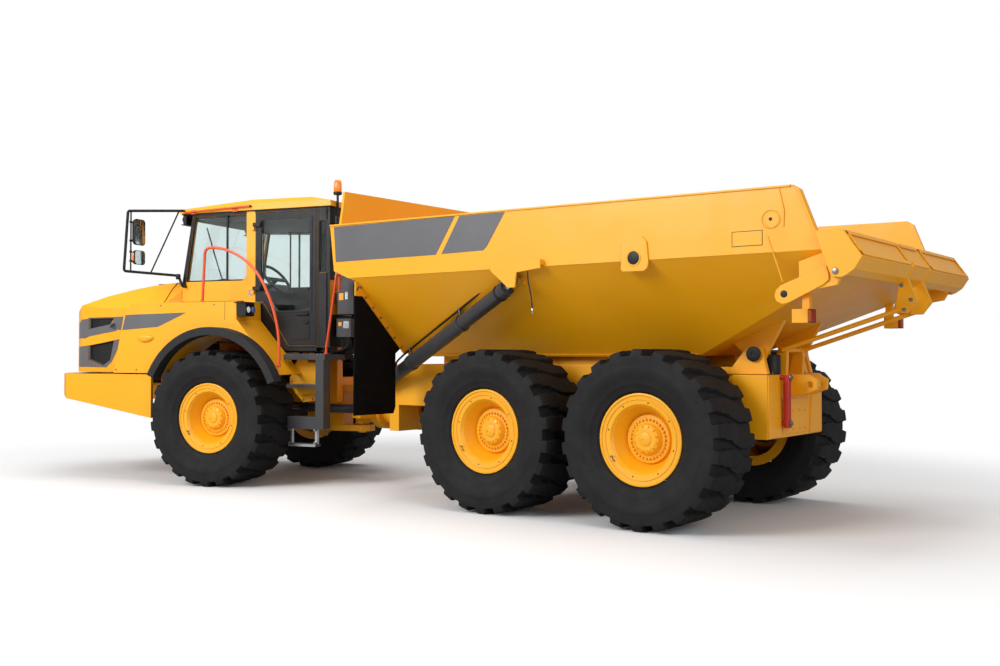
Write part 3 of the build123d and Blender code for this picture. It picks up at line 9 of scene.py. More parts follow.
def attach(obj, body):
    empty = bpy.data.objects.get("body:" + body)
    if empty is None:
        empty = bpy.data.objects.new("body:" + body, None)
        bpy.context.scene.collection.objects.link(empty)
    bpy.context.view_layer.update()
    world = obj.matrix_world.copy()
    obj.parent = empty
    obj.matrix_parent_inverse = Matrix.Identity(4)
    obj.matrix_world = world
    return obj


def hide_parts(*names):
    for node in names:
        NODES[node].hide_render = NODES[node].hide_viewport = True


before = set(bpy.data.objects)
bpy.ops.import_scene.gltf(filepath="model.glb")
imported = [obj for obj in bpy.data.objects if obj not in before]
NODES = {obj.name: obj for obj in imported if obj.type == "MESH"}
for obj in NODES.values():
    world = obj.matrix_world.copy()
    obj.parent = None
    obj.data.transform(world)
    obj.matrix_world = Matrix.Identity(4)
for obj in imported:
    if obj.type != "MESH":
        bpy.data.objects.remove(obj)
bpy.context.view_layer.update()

# The truck's own frame has its origin at the hitch, +X to the rear, and the front unit straight ahead
ORIGIN = Vector((1.305138, -0.31532, 0))
PARKED = math.radians(15.5)
REAR = Matrix.Translation(-ORIGIN)
FRONT = REAR @ Matrix.Rotation(PARKED, 4, "Z")
FRONT_BODIES = ("front_unit", "hood_lid", "cab_door")
TRACK_HALF = 1.108
AXLE_Z = 0.77
SIDES = (-1, 1)
HANDS = (("left", -1), ("right", 1))
UP, BACK, AHEAD, OUT, NEAR = (0, 0, 1), (1, 0, 0), (-1, 0, 0), (0, 1, 0), (0, -1, 0)

# name, axle's x, side of the truck, unit
WHEELS = [
    ("front_left", -1.21, -1, FRONT),
    ("front_right", -1.21, 1, FRONT),
    ("middle_left", 2.965, -1, REAR),
    ("middle_right", 2.965, 1, REAR),
    ("rear_left", 4.635, -1, REAR),
    ("rear_right", 4.635, 1, REAR),
]

# Camera at the photograph's angle
camera_data = bpy.data.cameras.new("camera")
camera_data.lens = 38.617
camera_data.sensor_width = 36.0
camera_data.clip_end = 400.0
camera = bpy.data.objects.new("camera", camera_data)
bpy.context.scene.collection.objects.link(camera)
camera.location = (7.894, -8.992, 1.497)
camera.rotation_euler = (math.radians(91.115), 0, math.radians(37.369))
bpy.context.scene.camera = camera
bpy.context.scene.view_settings.view_transform = "Standard"


# Materials
class Tree:
    """Adds nodes to one node tree and joins them."""

    def __init__(self, tree):
        self.tree = tree
        self.tree.nodes.clear()

    def feed(self, node, values):
        """Gives a node's inputs, by name or number, a value or another node's output."""
        for socket, value in values.items():
            if isinstance(value, bpy.types.NodeSocket):
                self.tree.links.new(value, node.inputs[socket])
            else:
                node.inputs[socket].default_value = value

    def add(self, kind, values=None, **settings):
        node = self.tree.nodes.new(kind)
        for setting, value in settings.items():
            setattr(node, setting, value)
        self.feed(node, values or {})
        return node

    def combine(self, operation, first, second):
        return self.add("ShaderNodeMath", {0: first, 1: second}, operation=operation).outputs[0]

    def ramp(self, value, low, high, out_low, out_high):
        limits = {"From Min": low, "From Max": high, "To Min": out_low, "To Max": out_high, "Value": value}
        return self.add("ShaderNodeMapRange", limits).outputs["Result"]

    def mix(self, factor, first, second):
        first, second = (c if isinstance(c, bpy.types.NodeSocket) else (*c, 1.0) for c in (first, second))
        return self.add("ShaderNodeMix", {0: factor, 6: first, 7: second}, data_type="RGBA").outputs[2]

    def seen(self):
        """One for the rays that look at a thing straight or through glass, nought for the others."""
        rays = self.add("ShaderNodeLightPath")
        return self.combine("MAXIMUM", rays.outputs["Is Camera Ray"], rays.outputs["Is Transmission Ray"])


class Surface(Tree):
    """The node tree of one material, round a principled shader."""

    def __init__(self, name):
        self.material = bpy.data.materials.new(name)
        self.material.use_nodes = True
        super().__init__(self.material.node_tree)
        self.shader = self.add("ShaderNodeBsdfPrincipled")
        self.output = self.add("ShaderNodeOutputMaterial", {0: self.shader.outputs[0]})
        self.coordinates = self.add("ShaderNodeTexCoord").outputs["Object"]

    def noise(self, scale, detail=3.0, roughness=0.55, vector=None):
        values = {"Scale": scale, "Detail": detail, "Roughness": roughness,
            "Vector": vector or self.coordinates}
        return self.add("ShaderNodeTexNoise", values).outputs["Fac"]

    def wave(self, values, **settings):
        values["Vector"] = self.coordinates
        return self.add("ShaderNodeTexWave", values, **settings).outputs["Fac"]

    def bevelled(self, radius):
        return self.add("ShaderNodeBevel", {"Radius": radius}, samples=4).outputs["Normal"]

    def edge_mask(self, normal):
        """One along the edges that the rounded normal softens, nought on the flats."""
        flat = self.add("ShaderNodeNewGeometry").outputs["Normal"]
        dot = self.add("ShaderNodeVectorMath", {0: normal, 1: flat}, operation="DOT_PRODUCT")
        return self.ramp(dot.outputs["Value"], 0.99, 0.8, 0, 1.0)

    def bump(self, height, strength, distance, normal=None):
        node = self.add("ShaderNodeBump", {"Strength": strength, "Distance": distance, "Height": height})
        if normal is not None:
            self.feed(node, {"Normal": normal})
        self.feed(self.shader, {"Normal": node.outputs["Normal"]})


def painted(name, colour, shade, edge, rough, coat, bevel=0.008):
    """Sprayed paint: cloudy colour, orange peel, dust film and lighter worn edges."""
    n = Surface(name)
    normal = n.bevelled(bevel)
    cloud = n.ramp(n.noise(1.7, 4.0), 0.3, 0.72, 0, 1.0)
    specks = n.ramp(n.noise(38.0, 5.0, 0.7), 0.62, 0.8, 0, 0.35)
    tone = n.mix(specks, n.mix(cloud, colour, shade), [c * 0.86 + 0.02 for c in colour])
    wear = n.combine("MULTIPLY", n.edge_mask(normal), n.ramp(n.noise(9.0, 4.0), 0.42, 0.66, 0, 0.8))
    n.feed(n.shader, {
        "Base Color": n.mix(wear, tone, edge),
        "Roughness": n.ramp(n.noise(4.5, 4.0), 0.3, 0.7, rough - 0.05, rough + 0.08),
        "Coat Weight": coat,
        "Coat Roughness": 0.12,
    })
    n.bump(n.noise(230.0, 2.0), 0.06, 0.002, normal)
    return n.material


def moulded(name, colour, shade, rough, grain, grain_scale=420.0, bevel=0.005, gloss=0.32):
    """Moulded plastic or rubber: fine grain, a soft cloudy bloom and rubbed edges."""
    n = Surface(name)
    normal = n.bevelled(bevel)
    tone = n.mix(n.ramp(n.noise(5.0, 5.0), 0.32, 0.7, 0, 1.0), colour, shade)
    rubbed = n.combine("MULTIPLY", n.edge_mask(normal), 0.35)
    n.feed(n.shader, {
        "Base Color": n.mix(rubbed, tone, [c * 2.1 + 0.01 for c in colour]),
        "Roughness": n.ramp(n.noise(11.0, 4.0), 0.3, 0.7, rough - 0.07, rough + 0.07),
        "Specular IOR Level": gloss,
    })
    n.bump(n.noise(grain_scale, 3.0), grain, 0.0015, normal)
    return n.material


def metal(name, colour, rough, scratch=0.08):
    """Machined or plated metal: fine drawn scratches and a smoky tint."""
    n = Surface(name)
    stretch = n.add("ShaderNodeMapping", {"Scale": (6.0, 6.0, 90.0), "Vector": n.coordinates})
    lines = n.noise(14.0, 4.0, 0.5, stretch.outputs[0])
    n.feed(n.shader, {
        "Base Color": n.mix(n.ramp(n.noise(6.0), 0.35, 0.7, 0, 1.0), colour, [c * 0.82 for c in colour]),
        "Roughness": n.ramp(lines, 0.3, 0.7, rough - 0.06, rough + 0.1),
        "Metallic": 1.0,
    })
    n.bump(lines, scratch, 0.001)
    return n.material


def glazed(name, tint, rough=0.015):
    """Sheet glass with a faint tint and a few smears."""
    n = Surface(name)
    n.feed(n.shader, {
        "Base Color": n.mix(n.ramp(n.noise(1.3), 0.35, 0.7, 0, 1.0), tint, [c * 0.96 for c in tint]),
        "Roughness": n.ramp(n.noise(3.2, 5.0), 0.45, 0.75, rough, rough + 0.05),
        "Transmission Weight": 1.0,
        "IOR": 1.45,
    })
    return n.material


def lens(name, colour, painted_glow, ribs=140.0):
    """A ribbed lamp lens with a faint painted glow: emission that stands in for light thrown back by the
    reflector behind it.
    """
    n = Surface(name)
    wave = n.wave({"Scale": ribs, "Distortion": 0.4})
    n.feed(n.shader, {
        "Base Color": n.mix(wave, colour, [c * 0.7 for c in colour]),
        "Roughness": n.ramp(n.noise(30.0), 0.3, 0.7, 0.08, 0.2),
        "Coat Weight": 0.6,
        # Painted glow: emission in the lens's colour that stands in for the reflector's light
        "Emission Color": (*colour, 1.0),
        "Emission Strength": painted_glow,
    })
    n.bump(wave, 0.35, 0.002)
    return n.material


def woven(name, colour, shade):
    """Coarse woven seat cloth: crossed threads with a soft sheen."""
    n = Surface(name)
    weave = n.combine("MULTIPLY", n.wave({"Scale": 180.0}), n.wave({"Scale": 180.0}, bands_direction="Y"))
    n.feed(n.shader, {
        "Base Color": n.mix(weave, colour, shade),
        "Roughness": n.ramp(n.noise(25.0), 0.3, 0.7, 0.8, 0.95),
        "Sheen Weight": 0.3,
    })
    n.bump(weave, 0.5, 0.0015)
    return n.material


# name, colour, cloudy shade, worn edge, roughness, coat
YELLOW = painted("yellow_paint", (0.95, 0.425, 0.003), (0.92, 0.395, 0.002), (0.99, 0.54, 0.03), 0.42, 0.12)
RIM_YELLOW = painted("rim_paint", (0.93, 0.425, 0.004), (0.89, 0.39, 0.003), (0.98, 0.58, 0.06), 0.44, 0.12,
    0.006)
DARK = painted("dark_paint", (0.042, 0.043, 0.047), (0.032, 0.033, 0.036), (0.17, 0.17, 0.18), 0.46, 0.12,
    0.006)
BAND = painted("grey_band", (0.125, 0.125, 0.135), (0.108, 0.108, 0.117), (0.21, 0.21, 0.22), 0.44, 0.1,
    0.002)
ORANGE = painted("orange_paint", (0.8, 0.098, 0.018), (0.72, 0.08, 0.014), (0.92, 0.22, 0.08), 0.4, 0.25,
    0.003)
RED = painted("red_paint", (0.53, 0.012, 0.008), (0.44, 0.009, 0.006), (0.72, 0.05, 0.03), 0.3, 0.45, 0.006)
# name, colour, cloudy shade, roughness, grain, grain's scale
BLACK = moulded("black_plastic", (0.009, 0.009, 0.01), (0.013, 0.013, 0.014), 0.46, 0.25)
GREY_PLASTIC = moulded("grey_plastic", (0.08, 0.082, 0.086), (0.068, 0.07, 0.073), 0.55, 0.25)
RUBBER = moulded("rubber", (0.017, 0.017, 0.018), (0.024, 0.024, 0.026), 0.72, 0.35, 260.0)
# The flaps get a darker copy of the rubber: painted shade that keeps them near black where the fill lamp
# lights them
SHADED_FLAP = moulded("shaded_flap_rubber", (0.003, 0.003, 0.0035), (0.005, 0.005, 0.0055), 0.78, 0.3, 260.0, gloss=0.1)
TYRE = moulded("tyre_rubber", (0.012, 0.012, 0.013), (0.018, 0.018, 0.019), 0.74, 0.45, 160.0, 0.009, 0.22)
STEEL = metal("bright_steel", (0.62, 0.62, 0.63), 0.22)
BOLT_STEEL = metal("bolt_steel", (0.3, 0.29, 0.28), 0.38)
MIRROR = metal("mirror_face", (0.86, 0.88, 0.9), 0.07, 0)
GLASS = glazed("clear_glass", (0.83, 0.91, 0.9))
# Lenses: name, colour, strength of the painted glow, rib scale
AMBER_LENS = lens("orange_lens", (0.95, 0.22, 0.01), 0.35, 60.0)
CLEAR_LENS = lens("clear_lens", (0.86, 0.9, 0.95), 0.25)
BLUE_LENS = lens("blue_lens", (0.07, 0.2, 0.55), 0.12)
RED_LENS = lens("red_lens", (0.7, 0.03, 0.012), 0.18, 90.0)
CLOTH = woven("chair_cloth", (0.03, 0.03, 0.033), (0.055, 0.055, 0.06))

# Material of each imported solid
FINISHES = [
    (DARK, "bogie_beams front_axle middle_axle rear_axle engine_block hoist_barrel_left hoist_barrel_right "
    "steering_barrel_left steering_barrel_right side_tank air_cleaner access_steps drive_shafts exhaust"),
    (BLACK, "grille nose_grille door console mirror_frames mirror_heads driver_chair work_lamps"),
    (RUBBER, "flares intake_hose"),
    (SHADED_FLAP, "flaps"),
    (TYRE, " ".join("tyre_" + wheel[0] for wheel in WHEELS)),
    (RIM_YELLOW, " ".join("rim_" + wheel[0] for wheel in WHEELS)),
    (GLASS, "cab_glass door_glass"),
    (STEEL, "hoist_rod_left hoist_rod_right steering_rod_left steering_rod_right"),
    (ORANGE, "handrails"),
    (AMBER_LENS, "beacon"),
    (RED, "lock_bar"),
    (YELLOW, "gate_links tail_lamps bumper fenders hood cab_body cab_roof bed headboard tailgate "
    "front_frame rear_frame hitch_yoke rear_crossmember"),
]
for finish, members in FINISHES:
    for member in members.split():
        node = NODES[member]
        if not node.material_slots:
            node.data.materials.append(finish)
        for material_slot in node.material_slots:
            material_slot.material = finish


# Mesh tools. Every shape is drawn in its unit's own frame and then carried to the row frame
def aimed(at, axis):
    """A matrix that stands a shape drawn along +Z at a point, along an axis."""
    turn = Vector(axis).normalized().to_track_quat("Z", "Y")
    return Matrix.Translation(Vector(at)) @ turn.to_matrix().to_4x4()


def turns(count, start=0):
    """Evenly spread angles round a circle. The first is a part of a step from nought."""
    return [2 * math.pi * (i + start) / count for i in range(count)]


# Profiles of lathed solids: rows of (radius, height along the axis)
def rod(radius, height):
    return [(radius, 0), (radius, height)]


def stud(radius, height, top_radius, top_height):
    """Profile of a short round head with a chamfered top."""
    return [(radius, 0), (radius, height), (top_radius, top_height)]


def barrel(end_radius, radius, height, end_height, top):
    """Profile of a cylinder with both ends chamfered."""
    return [(end_radius, 0), (radius, height), (radius, end_height), (end_radius, top)]


def collar(outer, inner, height):
    """Profile of a square-edged ring."""
    return [(outer, 0), (outer, height), (inner, height), (inner, 0)]


def bridge(mesh, first, second):
    """Faces between two closed rings of as many vertices."""
    count = len(first)
    for i in range(count):
        j = (i + 1) % count
        mesh.faces.new((first[i], first[j], second[j], second[i]))


def shade(mesh, sharp):
    """Smooth shading that breaks at edges folded by more than an angle in degrees."""
    bmesh.ops.recalc_face_normals(mesh, faces=mesh.faces)
    for face in mesh.faces:
        face.smooth = True
    for edge in mesh.edges:
        if len(edge.link_faces) == 2 and edge.calc_face_angle() > math.radians(sharp):
            edge.smooth = False


def add_piece(name, data, body):
    """A new object of the scene that rides on a body."""
    piece = bpy.data.objects.new(name, data)
    bpy.context.scene.collection.objects.link(piece)
    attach(piece, body)
    return piece


def add_mesh(name, mesh, body, material, place=None):
    """A drawn mesh as a piece, carried by its unit's matrix unless another place is given."""
    data = bpy.data.meshes.new(name)
    mesh.to_mesh(data)
    mesh.free()
    if place is None:
        place = FRONT if body in FRONT_BODIES else REAR
    data.transform(place)
    data.materials.append(material)
    return add_piece(name, data, body)


class Shape:
    """Collects closed solids into one mesh piece."""

    def __init__(self):
        self.mesh = bmesh.new()

    def hull(self, rings):
        """A solid over rings of as many points, with flat ends."""
        made = [[self.mesh.verts.new(p) for p in ring] for ring in rings]
        for first, second in zip(made, made[1:]):
            bridge(self.mesh, first, second)
        self.mesh.faces.new(list(reversed(made[0])))
        self.mesh.faces.new(made[-1])

    def side(self, points, y_from, y_to):
        """A side outline (x, z) given width along Y."""
        self.hull([[(x, y, z) for x, z in points] for y in (y_from, y_to)])

    def sides(self, outlines, inner, outer):
        """Side outlines on both sides of the middle, between two distances from it."""
        for points in outlines:
            for side in SIDES:
                self.side(points, side * inner, side * outer)

    def skin(self, points, thickness):
        """An outline of (x, y, z) points given thickness along (x, y, z) of the vector."""
        push = Vector(thickness)
        self.hull([[Vector(p) for p in points], [Vector(p) + push for p in points]])

    def skins(self, points, thickness):
        """The same skin on both sides of the middle."""
        for side in SIDES:
            flip = Vector((1, side, 1))
            self.skin([flip * Vector(p) for p in points], flip * Vector(thickness))

    def box(self, x0, x1, y0, y1, z0, z1):
        self.hull([[(x0, y0, z), (x1, y0, z), (x1, y1, z), (x0, y1, z)] for z in (z0, z1)])

    def boxes(self, *rows):
        for row in rows:
            self.box(*row)

    def both(self, *rows):
        """The same boxes on both sides of the middle."""
        for x0, x1, y0, y1, z0, z1 in rows:
            self.boxes((x0, x1, y0, y1, z0, z1), (x0, x1, -y1, -y0, z0, z1))

    def turned(self, at, axis, profile, sides=24):
        """A lathed solid: profile rows are (radius, height along the axis)."""
        place = aimed(at, axis)
        self.hull([[place @ Vector((r * math.cos(a), r * math.sin(a), h)) for a in turns(sides)]
            for r, h in profile])

    def hoop(self, at, axis, profile, sides=48):
        """A lathed ring: the profile is a closed loop of (radius, height)."""
        place = aimed(at, axis)
        loops = [[self.mesh.verts.new(place @ Vector((r * math.cos(a), r * math.sin(a), h)))
            for r, h in profile] for a in turns(sides)]
        for first, second in zip(loops, loops[1:] + loops[:1]):
            bridge(self.mesh, first, second)

    def bolt(self, at, axis, size, height):
        """A hexagon head on a washer."""
        washer = size * 0.28
        self.turned(at, axis, [(size * 1.25, 0), (size * 1.25, size * 0.2), (size * 1.15, washer)], 12)
        self.turned(Vector(at) + Vector(axis).normalized() * washer, axis,
            [(size, 0), (size, height * 0.8), (size * 0.8, height)], 6)

    def done(self, name, material, bevel=0, body="front_unit", place=None, slot=None):
        shade(self.mesh, 32.0)
        piece = add_mesh(name, self.mesh, body, material, place)
        if bevel:
            rounding = piece.modifiers.new("rounding", "BEVEL")
            rounding.width = bevel
            rounding.segments = 2
            rounding.limit_method = "ANGLE"
            rounding.angle_limit = math.radians(35)
            rounding.harden_normals = True
        return piece


def pipe(name, points, radius, body, material, resolution=10):
    """A round hose or pipe along a smooth spline through given control points."""
    unit = FRONT if body in FRONT_BODIES else REAR
    curve = bpy.data.curves.new(name, "CURVE")
    curve.dimensions = "3D"
    curve.bevel_depth = radius
    curve.bevel_resolution = 4
    curve.use_fill_caps = True
    spline = curve.splines.new("NURBS")
    spline.points.add(len(points) - 1)
    for target, point in zip(spline.points, points):
        target.co = (*(unit @ Vector(point)), 1.0)
    spline.order_u = 3
    spline.use_endpoint_u = True
    spline.resolution_u = resolution
    curve.materials.append(material)
    return add_piece(name, curve, body)


# Tyres: lug rows with stepped grooves that meet in a zigzag at the middle
PITCHES = 22
PITCH = 2 * math.pi / PITCHES
TYRE_RADIUS = 0.77
LUG_TOP = 0.7695
BEVEL_ANGLE = 0.011 / TYRE_RADIUS
# radius, distance from the wheel's middle plane
SIDEWALL = [
    (0.4, 0.25), (0.404, 0.276), (0.42, 0.297), (0.428, 0.2985), (0.436, 0.303), (0.47, 0.319),
    (0.478, 0.3255), (0.49, 0.3275), (0.498, 0.329), (0.54, 0.3465), (0.575, 0.3585), (0.6, 0.361),
    (0.618, 0.3618), (0.624, 0.3595), (0.64, 0.359), (0.7, 0.356),
]
# radius, distance, groove's half width, groove's depth below the tread, sideways lean in pitches
LUG_ROWS = [
    (0.716, 0.3535, 0.047, 0.056, 0), (0.742, 0.344, 0.047, 0.056, 0), (0.757, 0.338, 0.047, 0.056, 0),
    (0.766, 0.316, 0.046, 0.055, 0), (LUG_TOP, 0.29, 0.045, 0.053, 0), (LUG_TOP, 0.232, 0.043, 0.05, 0.02),
    (LUG_TOP, 0.224, 0.032, 0.048, 0.03), (LUG_TOP, 0.15, 0.031, 0.045, 0.06),
    (LUG_TOP, 0.1, 0.03, 0.042, 0.09), (LUG_TOP, 0.093, 0.017, 0.036, 0.11),
    (LUG_TOP, 0.05, 0.013, 0.028, 0.17),
]
MIDDLE_ROW = (LUG_TOP, 0, 0.012, 0.026, 0.25)


def tyre_mesh():
    rows = [(radius, y, 0.047, 0, 0) for radius, y in SIDEWALL] + LUG_ROWS + [MIDDLE_ROW]
    rows += [(r, -y, half, depth, 0.5 - lean) for r, y, half, depth, lean in reversed(LUG_ROWS)]
    rows += [(radius, -y, 0.047, 0, 0.5) for radius, y in reversed(SIDEWALL)]
    mesh = bmesh.new()
    rings = []
    for radius, y, half, depth, lean in rows:
        width = half / TYRE_RADIUS
        land = PITCH - 2 * width - 2 * BEVEL_ANGLE
        floor_radius = min(radius, TYRE_RADIUS - depth) if depth else radius
        ring = []
        for pitch in range(PITCHES):
            centre = (pitch + lean) * PITCH
            steps = [(centre + width * step, floor_radius) for step in (-1, 0, 1)]
            steps += [(centre + width + BEVEL_ANGLE + land * k / 5, radius) for k in range(6)]
            ring += [mesh.verts.new((r * math.cos(angle), y, r * math.sin(angle))) for angle, r in steps]
        rings.append(ring)
    for first, second in zip(rings, rings[1:] + rings[:1]):
        bridge(mesh, first, second)
    shade(mesh, 28.0)
    return mesh


def round_axle(radius, y, angle):
    return (radius * math.cos(angle), y, radius * math.sin(angle))


for wheel, axle_x, side, unit in WHEELS:
    body = "wheel_" + wheel
    place = unit @ Matrix.Translation((axle_x, side * TRACK_HALF, AXLE_Z))
    if side < 0:
        place = place @ Matrix.Rotation(math.pi, 4, "Z")
    tread = add_mesh("tread_" + wheel, tyre_mesh(), body, TYRE, place)
    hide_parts("tyre_" + wheel)

    # Hub bolts, planet cover bolts, lock ring and valve, +Y outboard
    hub = Shape()
    for angle in turns(30):
        hub.bolt(round_axle(0.166, 0.1405, angle), OUT, 0.0105, 0.014)
    for angle in turns(12, 0.5):
        across, rise = math.cos(angle), math.sin(angle)
        hub.bolt((0.108 * across, 0.184, 0.108 * rise), (across * 0.4, 1.0, rise * 0.4), 0.007, 0.009)
    hub.turned((0, 0.189, 0), OUT, stud(0.058, 0.006, 0.05, 0.01), 32)
    hub.turned((0.03, 0.198, 0), OUT, stud(0.009, 0.005, 0.006, 0.007), 8)
    hub.done("hub_bolts_" + wheel, RIM_YELLOW, body=body, place=place)
    ring = Shape()
    ring.hoop((0, 0, 0), OUT, [(0.3955, 0.277), (0.3955, 0.2835), (0.386, 0.287), (0.376, 0.285),
        (0.374, 0.274)], 96)
    ring.hoop((0, 0, 0), OUT, [(0.348, 0.272), (0.347, 0.279), (0.34, 0.2785), (0.339, 0.27)], 96)
    ring.done("lock_ring_" + wheel, RIM_YELLOW, body=body, place=place)
    valve = Shape()
    for turn in (-0.62, -0.5):
        valve.turned(round_axle(0.318, 0.262, turn), OUT, stud(0.007, 0.028, 0.005, 0.034), 10)
    valve.box(0.255, 0.275, 0.262, 0.268, -0.195, -0.15)
    valve.done("valve_" + wheel, BOLT_STEEL, body=body, place=place)
    marks = Shape()
    for angle in turns(8, 0.3):
        marks.turned(round_axle(0.322, 0.2705, angle), OUT, stud(0.0065, 0.0015, 0.0055, 0.002), 10)
    marks.done("rim_marks_" + wheel, BLACK, body=body, place=place)


# Bed: bare grey bands, rails, flange bolts, plates and welds
bands = Shape()
bands.sides([[(1.009, 2.825), (2.657, 2.812), (2.418, 2.455), (1.04, 2.456)],
    [(2.713, 2.808), (3.255, 2.803), (3.045, 2.5), (3.0, 2.464), (2.488, 2.458)]], 1.4495, 1.452)
bands.done("bed_bands", BAND, body="dump_body")

# Rounded lip along the wall's top and the tail's edge
lip = Shape()
lip.sides([[(0.952, 2.851), (0.952, 2.834), (5.99, 2.776), (6.006, 2.793)],
    [(5.995, 2.79), (6.012, 2.792), (6.07, 2.752), (6.315, 2.125), (6.298, 2.118), (6.056, 2.742)]],
    1.448, 1.462)
lip.done("bed_lip", YELLOW, 0.004, "dump_body")

# Doubler plates, the round disc's ring and the arm plate at the tail's foot
EYE_PLATE = [(4.497, 2.21), (4.52, 2.192), (4.72, 2.19), (4.752, 2.215), (4.764, 2.262), (4.745, 2.44),
    (4.7, 2.484), (4.64, 2.47), (4.6, 2.438), (4.505, 2.436)]
ARM_PLATE = [(5.985, 1.89), (6.25, 2.015), (6.296, 2.05), (6.296, 2.095), (6.276, 2.158), (5.915, 2.022),
    (5.878, 1.985), (5.868, 1.94), (5.885, 1.9), (5.93, 1.878)]
TAIL_STRIPS = ([(5.9, 2.79), (5.906, 2.79), (5.95, 2.6), (5.944, 2.6)],
    [(5.935, 2.47), (5.945, 2.475), (5.95, 2.6), (5.94, 2.6)])
plates = Shape()
plates.sides([EYE_PLATE], 1.449, 1.465)
plates.sides([[(5.806, 2.411), (5.814, 2.414), (5.936, 2.052), (5.927, 2.049)]], 1.449, 1.457)
for side, foot in ((-1, -1.457), (1, 1.449)):
    plates.side(ARM_PLATE, foot, side * 1.464)
    for strip in TAIL_STRIPS:
        plates.side(strip, foot, side * 1.454)
    plates.hoop((4.622, side * 1.464, 2.304), (0, side, 0),
        [(0.07, 0), (0.07, 0.006), (0.058, 0.006), (0.056, 0)], 40)
    plates.hoop((5.835, side * 1.449, 2.541), (0, side, 0),
        [(0.074, 0), (0.074, 0.0075), (0.068, 0.009), (0.064, 0)])
plates.done("tail_plates", YELLOW, 0.002, "dump_body")
# The black discs for the holes are painted shade that stands for the holes' dark insides; the thin black
# frame lines round the plate are dark joints
hole_shade_and_joints = Shape()
for side in SIDES:
    for x, y, z, profile, count in ((5.835, 1.4535, 2.541, stud(0.014, 0.002, 0.012, 0.003), 20),
            (5.945, 1.4635, 1.956, stud(0.028, 0.002, 0.026, 0.0025), 28),
            (4.622, 1.4645, 2.304, stud(0.056, 0.0015, 0.054, 0.002), 32)):
        hole_shade_and_joints.turned((x, side * y, z), (0, side, 0), profile, count)
for x0, x1, z0, z1 in ((5.51, 5.768, 2.458, 2.462), (5.51, 5.768, 2.342, 2.346),
        (5.51, 5.514, 2.342, 2.462), (5.764, 5.768, 2.342, 2.462)):
    hole_shade_and_joints.both((x0, x1, 1.4495, 1.4516, z0, z1))
hole_shade_and_joints.done("disc_hole_shade_and_joints", BLACK, body="dump_body")

# Bolts along the front flange, up the hull's slope and across its top
SLOPE_Y, SLOPE_Z = 0.7274, 0.6862
flange = [(0.6 + 0.034 * SLOPE_Z + (0.16 + k * 0.15) * SLOPE_Y,
    1.48 - 0.03 * SLOPE_Y + (0.16 + k * 0.15) * SLOPE_Z) for k in range(7)]
bolts = Shape()
for y, z in flange + [(1.3, 2.185), (1.355, 2.185), (1.41, 2.165)]:
    for side in SIDES:
        bolts.bolt((1.314, side * y, z), BACK, 0.011, 0.01)
bolts.done("flange_bolts", BOLT_STEEL, body="dump_body")
seams = Shape()
seams.sides([[(1.305, 2.286), (1.305, 2.279), (5.86, 2.281), (5.86, 2.288)]], 1.448, 1.4525)
seams.skins([(1.34, 0.606, 1.474), (4.79, 0.606, 1.474), (4.79, 0.626, 1.496), (1.34, 0.626, 1.496)],
    (0, 0.004, -0.004))
seams.done("hull_seams", YELLOW, body="dump_body")
label = Shape()
label.box(5.514, 5.764, -1.4512, -1.4495, 2.346, 2.458)
label.done("blank_plates", YELLOW, body="dump_body")

# Hoist: pipe above each barrel, clips, dark gland, bushing rings and pin ends
HOIST_FOOT = (1.0, 0.6, 1.2)
HOIST_EYE = (3.364, 1.43, 2.161)
# distance along the barrel, height above its axis
HOIST_PIPE = [(2.462, 0.075), (2.462, 0.118), (2.44, 0.15), (2.38, 0.15), (1.7, 0.146), (0.96, 0.146),
    (0.6, 0.146), (0.3, 0.14), (0.22, 0.12), (0.2, 0.085)]


def on_axis(distance, lift=0):
    return foot + along * distance + above * lift


for name, side in HANDS:
    foot, eye = (Vector((x, side * y, z)) for x, y, z in (HOIST_FOOT, HOIST_EYE))
    along = (eye - foot).normalized()
    above = (Vector(UP) - along * along.z).normalized()
    tube = "hoist_barrel_" + name
    pipe("hoist_pipe_" + name, [on_axis(*row) for row in HOIST_PIPE], 0.011, tube, BLACK)
    clips = Shape()
    for at in (0.58, 1.67):
        clips.hoop(on_axis(at), along, [(0.079, -0.016), (0.0865, -0.014), (0.0865, 0.014), (0.079, 0.016)],
            40)
        clips.turned(on_axis(at, 0.084), above, stud(0.016, 0.06, 0.013, 0.078), 12)
    clips.turned(on_axis(2.462, 0.06), above, stud(0.024, 0.04, 0.019, 0.048), 6)
    clips.done("hoist_clips_" + name, DARK, 0.002, tube)
    gland = Shape()
    for start, length, radius in ((2.405, 0.02, 0.0815), (2.492, 0.018, 0.07), (2.512, 0.01, 0.06)):
        gland.turned(on_axis(start), along,
            barrel(radius - 0.003, radius, 0.003, length - 0.003, length), 48)
    gland.done("hoist_gland_" + name, BLACK, body=tube)
    bushing, pin = Shape(), Shape()
    for face in SIDES:
        bushing.hoop(eye + Vector((0, face * 0.0345, 0)), (0, face, 0), collar(0.034, 0.025, 0.003), 32)
        pin.turned(eye + Vector((0, face * 0.034, 0)), (0, face, 0), stud(0.024, 0.002, 0.02, 0.0025))
    bushing.done("hoist_bushing_" + name, STEEL, body="hoist_rod_" + name)
    pin.done("hoist_pin_end_" + name, DARK, body="hoist_rod_" + name)

